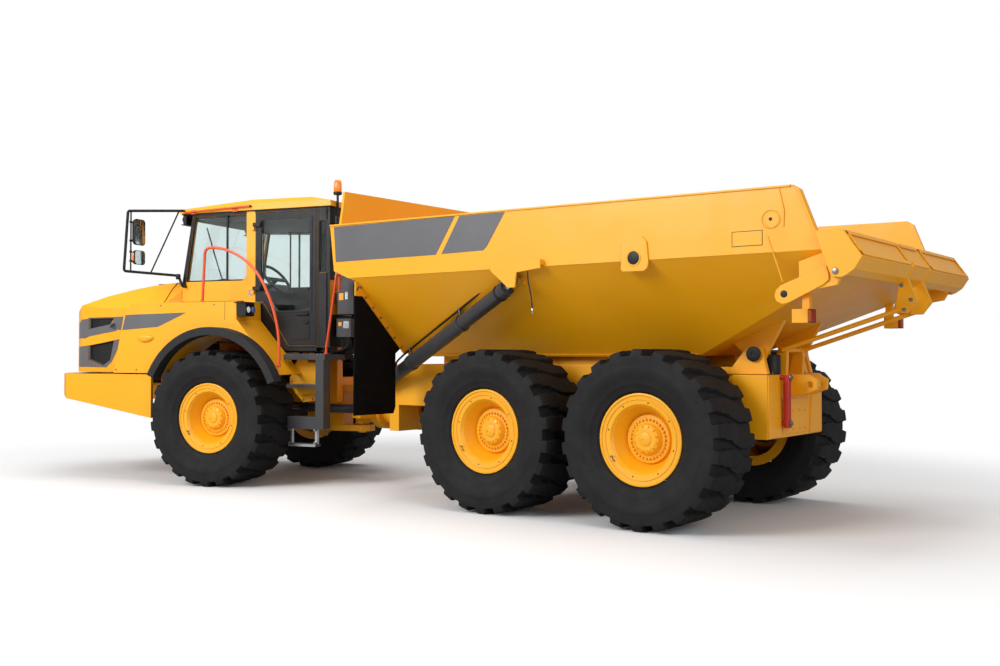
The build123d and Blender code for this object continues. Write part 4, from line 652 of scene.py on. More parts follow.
# Rear crossmember: black cylinder, bolted plate, pins of the lock bar, pivot caps, tail lamps
cylinder = Shape()
cylinder.turned((5.365, -0.335, 1.3155), UP,
    [(0.068, 0), (0.074, 0.008), (0.074, 0.16), (0.068, 0.172), (0.048, 0.178)], 40)
cylinder.done("rear_cylinder", BLACK, body="rear_chassis")
PLATE_X = 5.4402
plate = Shape()
plate.box(PLATE_X, 5.448, -0.3, 0.3, 0.79, 1.1)
plate.skins([(PLATE_X, 0.612, 0.768), (PLATE_X, 0.32, 0.768), (PLATE_X, 0.4, 1.306),
    (PLATE_X, 0.612, 1.306)], (0.012, 0, 0))
for y in (-0.2, -0.08, 0.08, 0.2):
    for z in (0.83, 0.99):
        plate.bolt((5.448, y, z), BACK, 0.01, 0.009)
plate.done("crossmember_plate", YELLOW, 0.003, "rear_chassis")
pins = Shape()
for z in (1.29, 0.89):
    pins.turned((5.533, -0.33, z), BACK, [(0.03, 0), (0.03, 0.006), (0.016, 0.009), (0.012, 0.02),
        (0.006, 0.022)], 20)
pins.done("lock_bar_pins", BOLT_STEEL, body="rear_chassis")
caps = Shape()
for side in SIDES:
    caps.turned((5.283, side * 0.536, 1.496), (0, side, 0),
        [(0.062, 0), (0.066, 0.004), (0.066, 0.014), (0.052, 0.018), (0.02, 0.018), (0.018, 0.01)], 40)
caps.done("pivot_caps", BLACK, body="rear_chassis")
for name, y, finish in (("tail_lamp_red", 1.088, RED_LENS), ("tail_lamp_amber", 1.16, AMBER_LENS)):
    lamps = Shape()
    lamps.both((6.03, 6.0345, y - 0.033, y + 0.033, 1.75, 1.84))
    lamps.done(name, finish, 0.003, "dump_body", slot="red_lens")
guard = Shape()
for k in range(6):
    y = 1.056 + 0.0276 * k
    guard.both((6.0345, 6.0385, y - 0.0022, y + 0.0022, 1.742, 1.848))
guard.both((6.03, 6.0385, 1.05, 1.2, 1.742, 1.747), (6.03, 6.0385, 1.05, 1.2, 1.844, 1.849))
guard.done("tail_lamp_guard", BLACK, body="dump_body")

# Tailgate: brace plates between the folds, frames round its two bays, pins and arm bolts
UPPER, LOWER = ((6.4245, 2.4095), (6.4455, 2.379)), ((6.5335, 2.252), (6.5545, 2.2215))
WHOLE = (UPPER[0], LOWER[1])
gate = Shape()
for y in (-0.262, -0.238, 0.238, 0.262):
    gate.side([(6.3, 2.42), (6.416, 2.42), (6.566, 2.213), (6.506, 2.118), (6.44, 2.072)],
        y - 0.006, y + 0.006)
BAYS = ((-1.47, -0.3), (-0.215, 0.215), (0.3, 1.47))
strips = [(y0, y1, fold) for y0, y1 in BAYS for fold in (UPPER, LOWER)]
strips += [(y, y + 0.03, WHOLE) for y in (-1.47, 1.44, -0.33, 0.3)]
for y0, y1, ((x0, z0), (x1, z1)) in strips:
    gate.skin([(x0, y0, z0), (x0, y1, z0), (x1, y1, z1), (x1, y0, z1)], (0.0075, 0, 0.0055))
gate.done("gate_braces", YELLOW, 0.002, "gate")
pins = Shape()
for side in SIDES:
    pins.turned((6.36, side * 1.5, 2.11), (0, side, 0), stud(0.0245, 0.004, 0.018, 0.007))
pins.done("gate_pin_caps", BOLT_STEEL, body="dump_body")
pins = Shape()
for side in SIDES:
    for x, z in ((6.53, 2.215), (6.42, 2.385)):
        pins.turned((x, side * 0.2685, z), (0, side, 0), stud(0.02, 0.006, 0.012, 0.009), 20)
for y in (-0.284, 0.224):
    for x, z in ((6.47, 2.06), (6.545, 1.94), (6.49, 1.86)):
        pins.turned((x, y, z), NEAR, stud(0.02, 0.006, 0.012, 0.009), 6)
pins.done("gate_arm_bolts", BOLT_STEEL, body="gate")

# Wire that hangs from the hoist's gusset on the near side
wire = pipe("gusset_lead", [(3.548, -1.499, 2.248), (3.549, -1.499, 2.215), (3.553, -1.499, 2.15),
    (3.576, -1.4985, 2.06), (3.594, -1.498, 1.975), (3.599, -1.498, 1.905)],
    0.006, "dump_body", RUBBER, 24)
plug = Shape()
plug.turned((3.599, -1.498, 1.9065), (0.05, 0, -1),
    [(0.006, 0), (0.0095, 0.006), (0.0095, 0.034), (0.0065, 0.04), (0.0055, 0.052)], 16)
plug_piece = plug.done("gusset_lead_end", STEEL, body="dump_body")


# Front unit trim: outlines are (x, z) in the unit's own frame
def hood_y(x):
    """Half width of the hood's flank."""
    return 1.02 - 0.03 * (-2.2 - x) / 0.95


def flank_y(x):
    """Half width of the flank as far as the nose, where it folds at two sections."""
    if x > -3.15:
        return hood_y(x)
    if x > -3.45:
        return 0.99 + (x + 3.15) * (0.04 / 0.3)
    return 0.95 + (x + 3.45) * (0.15 / 0.19)


def on_flank(shape, outlines, half_width, lift, thickness):
    """Thin skins laid on both flanks."""
    for outline in outlines:
        shape.skins([(x, half_width(x) + lift, z) for x, z in outline], (0, -thickness, 0))


HOOD_BAND = [(-2.885, 1.95), (-2.484, 1.958), (-2.53, 1.778), (-2.865, 1.792), (-2.975, 1.818),
    (-2.945, 1.866)]
FENDER_BAND = [(-2.462, 1.958), (-1.585, 1.974), (-1.99, 1.812), (-2.512, 1.779)]
VENTS = [[(-3.33, 1.8), (-2.96, 1.86), (-2.9, 1.935), (-3.33, 1.935)],
    [(-3.33, 1.42), (-3.1, 1.34), (-2.96, 1.42), (-2.88, 1.76), (-3.33, 1.69)]]
# Grey surround of the vents, carried forward round the nose's fold, and the yellow bar between them
CHEEKS = [
    [(-3.45, 1.69), (-3.33, 1.69), (-3.33, 1.935), (-3.45, 1.925)],
    [(-3.6, 1.69), (-3.45, 1.69), (-3.45, 1.925), (-3.6, 1.88)],
    [(-3.45, 1.335), (-3.33, 1.335), (-3.33, 1.6), (-3.45, 1.59)],
    [(-3.6, 1.335), (-3.45, 1.335), (-3.45, 1.59), (-3.6, 1.575)],
    [(-3.33, 1.712), (-3.15, 1.737), (-3.15, 1.829), (-3.33, 1.8)],
    [(-3.15, 1.737), (-2.86, 1.778), (-2.88, 1.873), (-2.96, 1.86), (-3.15, 1.829)],
    [(-3.33, 1.335), (-3.15, 1.333), (-3.15, 1.358), (-3.33, 1.42)],
    [(-3.15, 1.333), (-3.02, 1.33), (-2.935, 1.4), (-2.96, 1.42), (-3.1, 1.34), (-3.15, 1.358)],
    [(-2.935, 1.4), (-2.79, 1.64), (-2.79, 1.693), (-2.898, 1.676), (-2.96, 1.42)],
    [(-3.33, 1.935), (-3.15, 1.937), (-3.15, 1.948), (-3.33, 1.946)],
    [(-3.15, 1.937), (-2.9, 1.935), (-2.89, 1.95), (-3.15, 1.948)],
]
VENT_BAR = [
    [(-3.6, 1.578), (-3.45, 1.59), (-3.45, 1.672), (-3.6, 1.668)],
    [(-3.45, 1.59), (-3.33, 1.6), (-3.15, 1.622), (-3.15, 1.729), (-3.33, 1.704), (-3.45, 1.672)],
    [(-3.15, 1.622), (-2.79, 1.68), (-2.79, 1.786), (-3.15, 1.729)],
]
band = Shape()
on_flank(band, [HOOD_BAND], hood_y, 0.0022, 0.004)
band.done("hood_band", BAND, body="hood_lid")
band = Shape()
band.sides([FENDER_BAND], 1.2985, 1.3022)
band.done("fender_band", BAND)
trim = Shape()
for outline in VENTS:
    middle = Vector((sum(p[0] for p in outline), sum(p[1] for p in outline))) / len(outline)
    inner = [Vector(p) + (middle - Vector(p)).normalized() * 0.03 for p in outline]
    for i, point in enumerate(outline):
        j = (i + 1) % len(outline)
        trim.sides([[point, outline[j], inner[j], inner[i]]], 0.93, 0.961)
trim.done("vent_trim", GREY_PLASTIC, 0.004, "hood_lid")
cheeks = Shape()
on_flank(cheeks, CHEEKS, flank_y, 0.0022, 0.004)
cheeks.done("vent_cheeks", BAND, body="hood_lid")
bar = Shape()
on_flank(bar, VENT_BAR, flank_y, 0.006, 0.01)
bar.done("vent_bar", YELLOW, body="hood_lid")
louvres = Shape()
for k in range(9):
    x = -2.5 + 0.034 * k
    z = 2.34 + (x + 2.5) * 0.1067
    louvres.box(x, x + 0.016, -0.64, 0.64, z - 0.004, z + 0.006)
louvres.both((-2.515, -2.205, 0.64, 0.655, 2.334, 2.362))
louvres.done("hood_louvres", BLACK, 0.002, "hood_lid")

# Fenders: a moulded lump drawn as a hollowed drop, a dark seam and bolts on each
lump = Shape()
for side in SIDES:
    rings = []
    for push, scale in ((0, 1.0), (0.014, 0.93), (0.026, 0.78), (0.033, 0.52), (0.035, 0.2)):
        ring = []
        for angle in turns(24):
            across = (0.12 + 0.015 * math.cos(angle)) * scale * math.cos(angle)
            rise = (0.06 if math.sin(angle) < 0 else 0.034) * scale * math.sin(angle)
            ring.append((-2.175 + across, side * (1.2995 + push), 1.69 + rise))
        rings.append(ring)
    lump.hull(rings)
lump.done("fender_lumps", YELLOW)
seams = Shape()
seams.both((-1.055, -1.049, 1.299, 1.3005, 1.885, 2.088))
seams.done("fender_seams", BLACK)
bolts = Shape()
for size, height, places in ((0.01, 0.008, ((-0.405, 1.275), (-0.43, 1.335), (-0.52, 1.5))),
        (0.008, 0.006, ((-2.6, 1.31), (-2.3, 1.31), (-1.95, 2.06), (-1.2, 2.06)))):
    for x, z in places:
        for side in SIDES:
            bolts.bolt((x, side * 1.3, z), (0, side, 0), size, height)
bolts.done("fender_bolts", BOLT_STEEL)

# Lamps on the fenders' rear corners and under the roof
LAMP_LENS = stud(0.036, 0.012, 0.026, 0.02)
LAMP_RIM = collar(0.04, 0.0365, 0.018)
rear_lamp, front_lamp, bezel, marker = Shape(), Shape(), Shape(), Shape()
for side in SIDES:
    for lamp, y in ((rear_lamp, 1.25), (marker, 1.163)):
        lamp.turned((-0.781, side * y, 1.997), BACK, LAMP_LENS, 28)
        bezel.hoop((-0.781, side * y, 1.997), BACK, LAMP_RIM, 32)
    for y in (0.6, 0.68):
        front_lamp.turned((-2.094, side * y, 3.14), AHEAD, stud(0.034, 0.012, 0.024, 0.02), 28)
        bezel.hoop((-2.094, side * y, 3.14), AHEAD, collar(0.038, 0.0345, 0.017), 32)
bezel.both((-0.93, -0.78, 1.107, 1.303, 2.072, 2.084), (-2.12, -2.04, 0.548, 0.732, 3.07, 3.079))
rear_lamp.done("rear_work_lens", CLEAR_LENS)
front_lamp.done("roof_lamp_lens", CLEAR_LENS)
bezel.done("lamp_bezels", BLACK, 0.001)
marker.done("rear_marker_lens", BLUE_LENS)

# Cab trim: pillar covers, drip rail, window divider, black lower and rear panels
trim = Shape()
trim.sides([[(-2.04, 2.33), (-1.985, 2.33), (-1.985, 2.365), (-1.86, 3.15), (-1.115, 3.15), (-1.115, 3.188),
    (-1.885, 3.188)]], 0.8, 0.806)
trim.sides([[(-1.404, 2.366), (-1.384, 2.366), (-1.384, 3.149), (-1.404, 3.149)],
    [(-1.965, 2.366), (-1.117, 2.366), (-1.117, 2.38), (-1.962, 2.38)],
    [(-1.984, 2.366), (-1.972, 2.366), (-1.848, 3.149), (-1.86, 3.149)]], 0.779, 0.799)
trim.box(-2.046, 0.022, -0.812, 0.812, 3.1785, 3.1895)
trim.done("cab_trim", BLACK, 0.0015)
PANEL_FOOT, PANEL_TOP = 1.578, 3.178
panel = Shape()
panel.side([(-1.15, PANEL_FOOT), (-1.15, 1.93), (-1.04, 1.93), (-1.04, 2.104), (-0.993, 2.104),
    (-0.8818, 2.104), (-0.5342, 1.594), (-0.16, 1.594), (-0.16, 1.5765)], -0.8045, -0.8)
panel.box(-0.993, -0.16, -0.8045, -0.8, 3.157, PANEL_TOP)
for x0, x1, z0, z1 in ((-0.128, -0.002, PANEL_FOOT, 2.428), (-0.128, -0.002, 3.032, PANEL_TOP),
        (-0.16, -0.131, PANEL_FOOT, PANEL_TOP), (-0.028, 0.02, PANEL_FOOT, PANEL_TOP)):
    panel.both((x0, x1, 0.8, 0.8045, z0, z1))
panel.box(0.0195, 0.0235, -0.8, 0.8, PANEL_FOOT, 1.948)
panel.both((0.0195, 0.0235, 0.682, 0.804, 2.344, PANEL_TOP))
panel.box(0.0195, 0.0235, -0.682, 0.682, 3.082, PANEL_TOP)
panel.done("cab_panels", BLACK, 0.0015)
CORNER_RADIUS = 0.085
corner = Shape()
arc = [(-1.115 - CORNER_RADIUS * (1 - math.sin(math.pi * k / 16)),
    2.365 + CORNER_RADIUS * (1 - math.cos(math.pi * k / 16))) for k in range(9)]
corner.sides([[(-1.1155, 2.3655)] + arc], 0.78, 0.8)
corner.done("window_corners", YELLOW)
lining = Shape()
lining.side([(-1.88, 3.165), (-0.14, 3.165), (-0.14, 3.1), (-1.115, 3.06), (-1.87, 3.095)], -0.745, 0.745)
lining.done("head_lining", GREY_PLASTIC, 0.006)
plate = Shape()
plate.side([(-1.085, 2.18), (-1.035, 2.182), (-1.035, 2.252), (-1.085, 2.25)], -0.8022, -0.7995)
plate.done("cab_blank_plate", STEEL, 0.001)


def on_screen(y, z, lift=0):
    """A point on the sloping windscreen."""
    return (-2.052 + 0.1882 * (z - 2.34) - lift, y, z)


edge = Shape()
for y0, y1, z0, z1 in ((-0.732, 0.732, 2.352, 2.372), (-0.732, 0.732, 3.122, 3.142),
        (-0.742, -0.722, 2.352, 3.142), (0.722, 0.742, 2.352, 3.142)):
    edge.skin([on_screen(y0, z0), on_screen(y1, z0), on_screen(y1, z1), on_screen(y0, z1)], (0.014, 0, 0))
edge.done("windscreen_edge", BLACK, 0.001)
wiper = Shape()
wiper.turned(on_screen(0.1, 2.345), (-1, 0, 0.19), stud(0.024, 0.028, 0.016, 0.034), 20)
wiper.skin([on_screen(0.088, 2.345, 0.026), on_screen(0.112, 2.345, 0.026), on_screen(-0.262, 2.8, 0.022),
    on_screen(-0.278, 2.795, 0.022)], (-0.006, 0, 0))
BLADE = ((-0.06, 2.5), (-0.048, 2.502), (-0.472, 3.06), (-0.484, 3.055))
wiper.skin([on_screen(y, z, 0.006) for y, z in BLADE], (-0.012, 0, 0))
wiper.done("wiper", BLACK, 0.001)
clamps = Shape()
for x in (-1.89, -1.29):
    clamps.side([(x, 3.178), (x + 0.075, 3.18), (x + 0.075, 3.228), (x, 3.226)], -0.8305, -0.8425)
    clamps.turned((x + 0.037, -0.842, 3.203), NEAR, rod(0.012, 0.012), 10)
clamps.done("rail_clamps", ORANGE, 0.002)

# Dark lining of the cab's walls and floor, and the pan under it
inside = Shape()
inside.boxes(
    (-1.93, -0.05, 0.7385, 0.7465, 1.65, 2.195), (-0.19, -0.05, 0.7385, 0.7465, 2.195, 3.12),
    (-1.11, -0.97, 0.7385, 0.7465, 2.195, 3.12), (-0.0395, -0.033, -0.74, 0.7385, 1.65, 2.34),
    (-1.93, -1.17, -0.7465, -0.7385, 2.175, 2.33), (-1.905, -0.05, -0.735, 0.7385, 1.6285, 1.64),
    (-1.93, -1.11, 0.7385, 0.7465, 2.195, 2.358), (-1.93, -1.11, -0.7465, -0.7385, 2.33, 2.358),
    (-1.0985, -1.0905, -0.735, 0.7385, 1.64, 2.183), (-1.9, -1.0905, -0.735, 0.7385, 2.176, 2.183))
inside.done("cab_lining", BLACK, 0.003)
pan = Shape()
pan.boxes((-0.9, -0.1, -0.72, 0.72, 1.515, 1.572), (-0.78, -0.16, -0.79, -0.72, 1.53, 1.572))
pan.done("cab_pan", BLACK, 0.004)
for name, side in HANDS:
    pipe("mirror_strut_" + name, [(-2.012, side * 0.905, 3.216), (-2.12, side * 1.026, 2.836),
        (-2.228, side * 1.146, 2.458)], 0.009, "front_unit", BLACK, 2)
gasket = Shape()
for x0, x1, z0, z1 in ((-0.1285, -0.1225, 2.4315, 3.0285), (-0.0375, -0.0315, 2.4315, 3.0285),
        (-0.1225, -0.0375, 2.4315, 2.4375), (-0.1225, -0.0375, 3.0225, 3.0285)):
    gasket.both((x0, x1, 0.751, 0.8005, z0, z1))
gasket.done("quarter_light_gasket", BLACK, 0.001)
# Cowl: folded skins from the hood's edge to the windscreen's foot
HOOD_SIDE, HOOD_EDGE, HOOD_TOP = (-2.185, 0.96, 2.094), (-2.185, 0.79, 2.284), (-2.185, 0.69, 2.362)
PILLAR_FOOT, PILLAR_EDGE = (-2.045, 0.802, 2.094), (-2.045, 0.802, 2.262)
SCREEN_FOOT = (-2.045, 0.79, 2.334)
cowl = Shape()
for fold in ((HOOD_SIDE, PILLAR_FOOT, PILLAR_EDGE), (HOOD_SIDE, PILLAR_EDGE, HOOD_EDGE),
        (HOOD_EDGE, PILLAR_EDGE, SCREEN_FOOT), (HOOD_EDGE, SCREEN_FOOT, HOOD_TOP)):
    cowl.skins(fold, (0, -0.008, 0))
cowl.skins([(-2.185, 0, 2.362), HOOD_TOP, SCREEN_FOOT, (-2.045, 0, 2.334)], (0, 0, -0.008))
cowl.done("cowl", YELLOW)

# Door: window gasket, lower panel, handle, latch and hinges, and the grip inside
door = Shape()
for points in ([(-0.935, 2.225), (-0.905, 2.228), (-0.905, 3.058), (-0.935, 3.085)],
        [(-0.935, 3.085), (-0.905, 3.06), (-0.247, 3.06), (-0.215, 3.085)],
        [(-0.247, 3.06), (-0.247, 2.0), (-0.215, 1.975), (-0.215, 3.085)],
        [(-0.247, 2.0), (-0.7, 2.0), (-0.712, 1.975), (-0.215, 1.975)],
        [(-0.7, 2.0), (-0.82, 2.18), (-0.843, 2.165), (-0.716, 1.975)]):
    door.side(points, -0.8055, -0.799)
door.side([(-0.48, 1.66), (-0.25, 1.66), (-0.25, 1.915), (-0.6, 1.915), (-0.6, 1.835)], -0.805, -0.799)
door.box(-0.43, -0.26, -0.826, -0.799, 1.945, 1.965)
door.turned((-0.285, -0.8, 1.865), NEAR, stud(0.028, 0.01, 0.02, 0.016))
door.boxes((-0.968, -0.912, -0.812, -0.8085, 2.242, 2.287), (-0.968, -0.912, -0.812, -0.8085, 2.992, 3.037))
door.done("door_trim", BLACK, 0.002, "cab_door")
grip = Shape()
grip.boxes((-0.56, -0.545, -0.735, -0.72, 2.26, 2.9), (-0.56, -0.545, -0.755, -0.72, 2.262, 2.28),
    (-0.56, -0.545, -0.755, -0.72, 2.88, 2.898), (-0.57, -0.235, -0.757, -0.752, 2.24, 2.262),
    (-0.57, -0.235, -0.757, -0.752, 2.898, 2.92))
grip.done("door_grip", BLACK, 0.003, "cab_door")

# Mirrors: rounded housings, silvered faces, amber markers, and brackets on the rod
MIRROR_CORNER = 0.04
MIRROR_RINGS = ((-2.3515, 0.62), (-2.342, 0.86), (-2.325, 0.97), (-2.3, 1.0), (-2.2935, 0.985))
housing, silver, marker, joints = Shape(), Shape(), Shape(), Shape()
for side in SIDES:
    low, high = sorted((side * 1.1655, side * 1.3495))
    left, right = low + MIRROR_CORNER, high - MIRROR_CORNER
    for z0, z1 in ((2.78, 3.09), (2.55, 2.72)):
        foot, top = z0 + MIRROR_CORNER, z1 - MIRROR_CORNER
        ring = []
        for cy, cz, start in ((right, top, 0), (left, top, 90), (left, foot, 180), (right, foot, 270)):
            for k in range(6):
                angle = math.radians(start + 90 * k / 5)
                ring.append((cy + MIRROR_CORNER * math.cos(angle), cz + MIRROR_CORNER * math.sin(angle)))
        my, mz = (low + high) / 2, (z0 + z1) / 2
        housing.hull([[(x, my + (y - my) * scale, mz + (z - mz) * scale) for y, z in ring]
            for x, scale in MIRROR_RINGS])
        silver.hull([[(x, my + (y - my) * 0.9, mz + (z - mz) * 0.93) for y, z in ring]
            for x in (-2.294, -2.2925)])
    marker.turned((-2.318, side * 1.335, 2.59), UP, barrel(0.014, 0.017, 0.006, 0.09, 0.096), 20)
    for z in (2.82, 3.04, 2.58, 2.69):
        joints.turned((-2.362, side * 1.335, z), UP, rod(0.017, 0.024), 16)
    joints.turned((-2.04, side * 0.878, 2.395), UP, [(0.024, 0), (0.028, 0.01), (0.028, 0.055),
        (0.022, 0.065)], 20)
housing_piece = housing.done("mirror_housings", BLACK)
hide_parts("mirror_heads")
silver.done("mirror_faces", MIRROR)
marker.done("mirror_markers", AMBER_LENS)
joints.done("mirror_clamps", BLACK, 0.001)

# Beacon: black mast with its bracket, and the ribbed amber dome
mast = Shape()
for z, profile, count in ((2.9, rod(0.014, 0.425), 16), (2.96, rod(0.021, 0.032), 16),
        (3.325, [(0.04, 0), (0.05, 0.008), (0.05, 0.03), (0.046, 0.034)], 32)):
    mast.turned((0.06, -0.7, z), UP, profile, count)
mast.box(0.0235, 0.062, -0.722, -0.678, 2.95, 3.0)
mast.done("beacon_mast", BLACK)
dome = Shape()
dome.turned((0.06, -0.7, 3.359), UP, [(0.0445, 0), (0.047, 0.006), (0.046, 0.06), (0.044, 0.1),
    (0.038, 0.125), (0.026, 0.137), (0.01, 0.1405)], 40)
dome_piece = dome.done("beacon_dome", AMBER_LENS)
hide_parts("beacon")

# Steps: bolted yellow panel with a black sheet as painted shade in its slot, and tread strips with the
# hanging step's hangers
steps = Shape()
steps.side([(-0.56, 1.226), (-0.47, 1.33), (-0.462, 1.424), (-0.2, 1.424), (-0.15, 1.345), (-0.15, 0.965),
    (-0.38, 0.935), (-0.56, 1.12)], -0.724, -0.716)
steps.side([(-0.15, 1.424), (-0.06, 1.424), (-0.06, 0.96), (-0.15, 0.965)], -0.728, -0.716)
steps.done("step_panel", YELLOW, 0.002)
bolts = Shape()
for x, z in ((-0.44, 1.395), (-0.33, 1.4), (-0.22, 1.395), (-0.37, 0.965), (-0.25, 0.975), (-0.47, 1.06),
        (-0.53, 1.18)):
    bolts.bolt((x, -0.724, z), NEAR, 0.009, 0.007)
bolts.done("step_bolts", BOLT_STEEL)
# Black sheet over the slot: painted shade that stands for the dark opening
slot_shade = Shape()
slot_shade.side([(-0.45, 1.1), (-0.31, 1.118), (-0.05, 1.135), (-0.05, 1.19), (-0.29, 1.176), (-0.45, 1.15)],
    -0.73, -0.7235)
slot_shade.done("step_slot_shade", BLACK, 0.002)
treads = Shape()
# count, first strip's x, strip's length, pitch, y from and to, z from and to
for count, x, length, pitch, *rest in ((11, -0.445, 0.02, 0.045, -0.99, -0.82, 1.4935, 1.4985),
        (10, -0.418, 0.018, 0.045, -0.996, -0.86, 1.1495, 1.1545),
        (8, -0.392, 0.014, 0.042, -0.996, -0.886, 0.4795, 0.484)):
    treads.boxes(*[(x + pitch * k, x + length + pitch * k, *rest) for k in range(count)])
treads.boxes((-0.4, -0.046, -1.0, -0.996, 0.452, 0.48), (-0.4005, -0.0455, -1.0012, -0.995, 0.453, 0.479),
    (-0.401, -0.375, -0.961, -0.919, 0.481, 0.649), (-0.071, -0.045, -0.961, -0.919, 0.481, 0.649))
treads.done("step_treads", STEEL)

# Handrails bent in smooth curves, with their feet
RAIL_CURVE = [(-1.4, 2.094), (-1.371, 2.6), (-1.366, 2.69), (-1.3, 2.722), (-1.12, 2.702), (-0.94, 2.637),
    (-0.76, 2.522), (-0.62, 2.37), (-0.5, 2.16), (-0.41, 1.92), (-0.355, 1.65), (-0.362, 1.35)]
for name, side in HANDS:
    rail = pipe("fender_rail_" + name, [(x, side * 1.25, z) for x, z in RAIL_CURVE], 0.016, "front_unit",
        ORANGE, 12)
    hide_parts("handrails")
REAR_RAIL = [(0.084, -0.985, 1.496), (0.084, -0.985, 1.56), (0.1, -0.985, 1.64), (0.19, -0.985, 2.22),
    (0.206, -0.985, 2.32), (0.206, -0.985, 2.38), (0.206, -0.942, 2.392), (0.206, -0.9, 2.38),
    (0.206, -0.9, 2.32), (0.206, -0.9, 2.202)]
pipe("rear_rail", REAR_RAIL, 0.0145, "front_unit", ORANGE, 12)
ROOF_RAIL = [(-1.96, -0.831, 3.203), (-1.96, -0.852, 3.203), (-1.95, -0.862, 3.2035),
    (-1.045, -0.862, 3.2345), (-1.035, -0.852, 3.235), (-1.035, -0.831, 3.235)]
pipe("roof_rail", ROOF_RAIL, 0.01, "front_unit", ORANGE, 12)
feet = Shape()
for side in SIDES:
    feet.turned((-1.4, side * 1.25, 2.0922), UP, [(0.03, 0), (0.03, 0.008), (0.019, 0.012), (0.019, 0.03)],
        20)
    feet.turned((-0.362, side * 1.25, 1.348), UP, barrel(0.018, 0.02, 0.004, 0.034, 0.038), 20)
feet.turned((0.084, -0.985, 1.4945), UP, [(0.028, 0), (0.028, 0.008), (0.018, 0.012), (0.018, 0.03)], 20)
feet.turned((-1.5, -0.831, 3.219), NEAR, rod(0.008, 0.026), 12)
feet.done("rail_feet", ORANGE)
cap = Shape()
cap.turned((-1.035, -0.832, 3.235), NEAR, barrel(0.0115, 0.0125, 0.004, 0.026, 0.03), 16)
cap.done("roof_rail_cap", BLACK)
shackles = Shape()
for x in (-0.388, -0.058):
    for z in (0.492, 0.64):
        shackles.turned((x, -0.9985, z), OUT, rod(0.016, 0.038), 16)
shackles.done("step_shackles", BOLT_STEEL)

# Behind the cab: service box with blank plates, hoses along the frame, intake and exhaust
service = Shape()
service.boxes((0.3, 0.306, -0.74, -0.36, 1.965, 2.33), (0.075, 0.3, -0.7515, -0.7495, 2.245, 2.255),
    (0.06, 0.25, -0.72, -0.52, 1.69, 1.9))
service.done("service_box", DARK, 0.004)
plates = Shape()
plates.boxes((0.11, 0.17, -0.7525, -0.7498, 2.11, 2.19), (0.085, 0.13, -0.7225, -0.7198, 1.815, 1.86))
plates.done("service_plates_yellow", YELLOW)
plates = Shape()
plates.boxes((0.19, 0.225, -0.7525, -0.7498, 2.12, 2.2), (0.15, 0.225, -0.7225, -0.7198, 1.79, 1.87))
plates.done("service_plates_pale", STEEL)
for k, (y0, y1, z1) in enumerate(((-0.66, -0.6, 1.51), (-0.62, -0.55, 1.55), (-0.58, -0.5, 1.49),
        (-0.7, -0.66, 1.53))):
    step = 0.03 * k
    pipe("cab_hose_" + str(k), [(0.11 + step, y0, 1.7), (0.115 + step, y0, 1.64),
        (0.105 + step, y0 + 0.01, 1.58), (0.06, y1, z1), (-0.03, y1, 1.515), (-0.06, y1, 1.497)],
        0.011, "front_unit", RUBBER)
rings = Shape()
for z in (1.66, 1.74, 1.82, 1.9):
    rings.hoop((0.195, -0.48, z), UP, [(0.0615, -0.007), (0.0655, -0.005), (0.0655, 0.005),
        (0.0615, 0.007)], 40)
rings.done("intake_rings", RUBBER)
stack = Shape()
stack.hoop((0.18, 0.52, 2.385), UP, barrel(0.057, 0.06, 0.004, 0.02, 0.024), 32)
for k in range(6):
    stack.box(0.3, 0.304, 0.32 + 0.05 * k, 0.345 + 0.05 * k, 1.76, 2.15)
stack.done("exhaust_shield", GREY_PLASTIC, 0.002, slot="dark_paint")
bumper = Shape()
for y in (-0.9, -0.3, 0.3, 0.9):
    bumper.bolt((-3.4, y, 1.257), UP, 0.012, 0.009)
bumper.done("bumper_bolts", BOLT_STEEL)


# Driver's chair: crowned cushions with channels, on the pedestal with its armrests
def cushion(name, centre, half, lean):
    """A crowned closed cushion: its sides pull in between the corners and channels cross its face."""
    mesh = bmesh.new()
    bmesh.ops.create_cube(mesh, size=2.0)
    bmesh.ops.subdivide_edges(mesh, edges=mesh.edges, cuts=11, use_grid_fill=True)
    turn = Matrix.Rotation(lean, 4, "Y")
    for vertex in mesh.verts:
        u, v, w = vertex.co
        edge_u, edge_v = 1 - abs(u) ** 4, 1 - abs(v) ** 4
        round_off = 1.0 - 0.1 * max(0, abs(u) + abs(v) + abs(w) - 2.2)
        x = half[0] * u * round_off * (1.0 - 0.03 * (1 - v * v) * (abs(u) > 0.99))
        y = half[1] * v * round_off * (1.0 - 0.055 * (1 - u * u) * (abs(v) > 0.99))
        crown = 0.03 * edge_u * edge_v * (1 if w > 0 else 0.25) * abs(w)
        channel = 0.01 * math.exp(-((abs(v) - 0.56) / 0.045) ** 2) * edge_u * max(w, 0)
        channel += 0.008 * math.exp(-((u - 0.15) / 0.05) ** 2) * edge_v * max(w, 0) * (abs(v) < 0.56)
        z = half[2] * w * round_off + math.copysign(crown, w) - channel
        vertex.co = turn @ Vector((x, y, z)) + Vector(centre)
    for face in mesh.faces:
        face.smooth = True
    piece = add_mesh(name, mesh, "front_unit", CLOTH)
    smooth = piece.modifiers.new("smooth", "SUBSURF")
    smooth.levels = 1
    smooth.render_levels = 1
    return piece


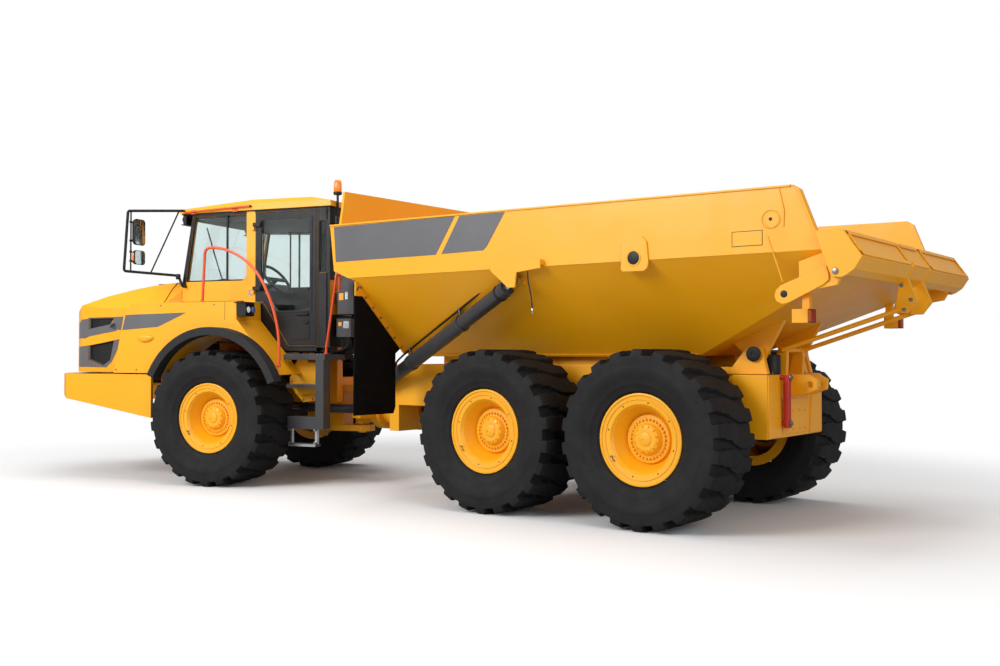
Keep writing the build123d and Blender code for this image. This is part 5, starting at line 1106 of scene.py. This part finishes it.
RECLINE = math.radians(-80)
pad = cushion("chair_pad", (-0.515, 0, 1.988), (0.23, 0.238, 0.052), 0)
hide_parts("driver_chair")
cushion("chair_back", (-0.232, 0, 2.33), (0.262, 0.228, 0.046), RECLINE)
cushion("chair_headrest", (-0.167, 0, 2.68), (0.075, 0.13, 0.036), RECLINE)
base = Shape()
base.turned((-0.5, 0, 1.627), UP,
    [(0.155, 0), (0.155, 0.03), (0.095, 0.06), (0.085, 0.12), (0.1, 0.18), (0.14, 0.21)], 32)
base.box(-0.74, -0.28, -0.225, 0.225, 1.85, 1.925)
base.side([(-0.335, 1.9), (-0.245, 1.9), (-0.15, 2.6), (-0.172, 2.6)], -0.19, 0.19)
base.side([(-0.155, 2.59), (-0.135, 2.59), (-0.128, 2.7), (-0.142, 2.7)], -0.04, 0.04)
base.sides([[(-0.56, 2.17), (-0.255, 2.19), (-0.25, 2.15), (-0.555, 2.135)]], 0.216, 0.248)
base.done("chair_frame", BLACK, 0.006)

# Floor, world and lights
floor_mesh = bpy.data.meshes.new("floor")
floor_mesh.from_pydata([(-60, -60, 0), (60, -60, 0), (60, 60, 0), (-60, 60, 0)], [], [(0, 1, 2, 3)])
floor = bpy.data.objects.new("floor", floor_mesh)
bpy.context.scene.collection.objects.link(floor)
ground = Surface("floor_surface")
rays = ground.add("ShaderNodeLightPath")
pale = ground.mix(ground.ramp(ground.noise(0.8), 0.3, 0.7, 0, 1.0), (0.92, 0.92, 0.925), (0.9, 0.9, 0.905))
ground.feed(ground.shader, {
    "Base Color": ground.mix(rays.outputs["Is Camera Ray"], (0.42, 0.42, 0.43), pale),
    "Roughness": 0.9,
})
ground.bump(ground.noise(40.0), 0.05, 0.002)
reach = ground.add("ShaderNodeVectorMath", {0: ground.coordinates}, operation="LENGTH").outputs["Value"]
fade = ground.add("ShaderNodeMapRange", {"From Min": 4.6, "From Max": 9.5, "Value": reach},
    interpolation_type="SMOOTHSTEP")
white = ground.add("ShaderNodeEmission", {"Strength": 1.0})
blend = ground.add("ShaderNodeMixShader", {
    0: ground.combine("MULTIPLY", ground.seen(), fade.outputs["Result"]),
    1: ground.shader.outputs[0],
    2: white.outputs[0],
})
ground.feed(ground.output, {0: blend.outputs[0]})
floor_mesh.materials.append(ground.material)

world = bpy.data.worlds.new("studio")
bpy.context.scene.world = world
world.use_nodes = True
sky = Tree(world.node_tree)
background = sky.add("ShaderNodeBackground", {"Color": (1, 1, 1, 1),
    "Strength": sky.ramp(sky.seen(), 0, 1.0, 0.42, 1.0)})
sky.add("ShaderNodeOutputWorld", {0: background.outputs[0]})


def softbox(name, location, aim, size, power):
    data = bpy.data.lights.new(name, "AREA")
    data.shape = "SQUARE"
    data.size = size
    data.energy = power
    lamp = bpy.data.objects.new(name, data)
    bpy.context.scene.collection.objects.link(lamp)
    lamp.location = location
    lamp.rotation_euler = (Vector(aim) - Vector(location)).to_track_quat("-Z", "Y").to_euler()


softbox("key", (-3.0, -13.0, 8.0), (0, 0, 1.4), 7.0, 1650.0)
softbox("top", (0, 1.0, 13.0), (0, 0, 1.5), 10.0, 800.0)
softbox("fill", (13.0, -6.0, 5.0), (0, 0, 1.5), 7.0, 420.0)
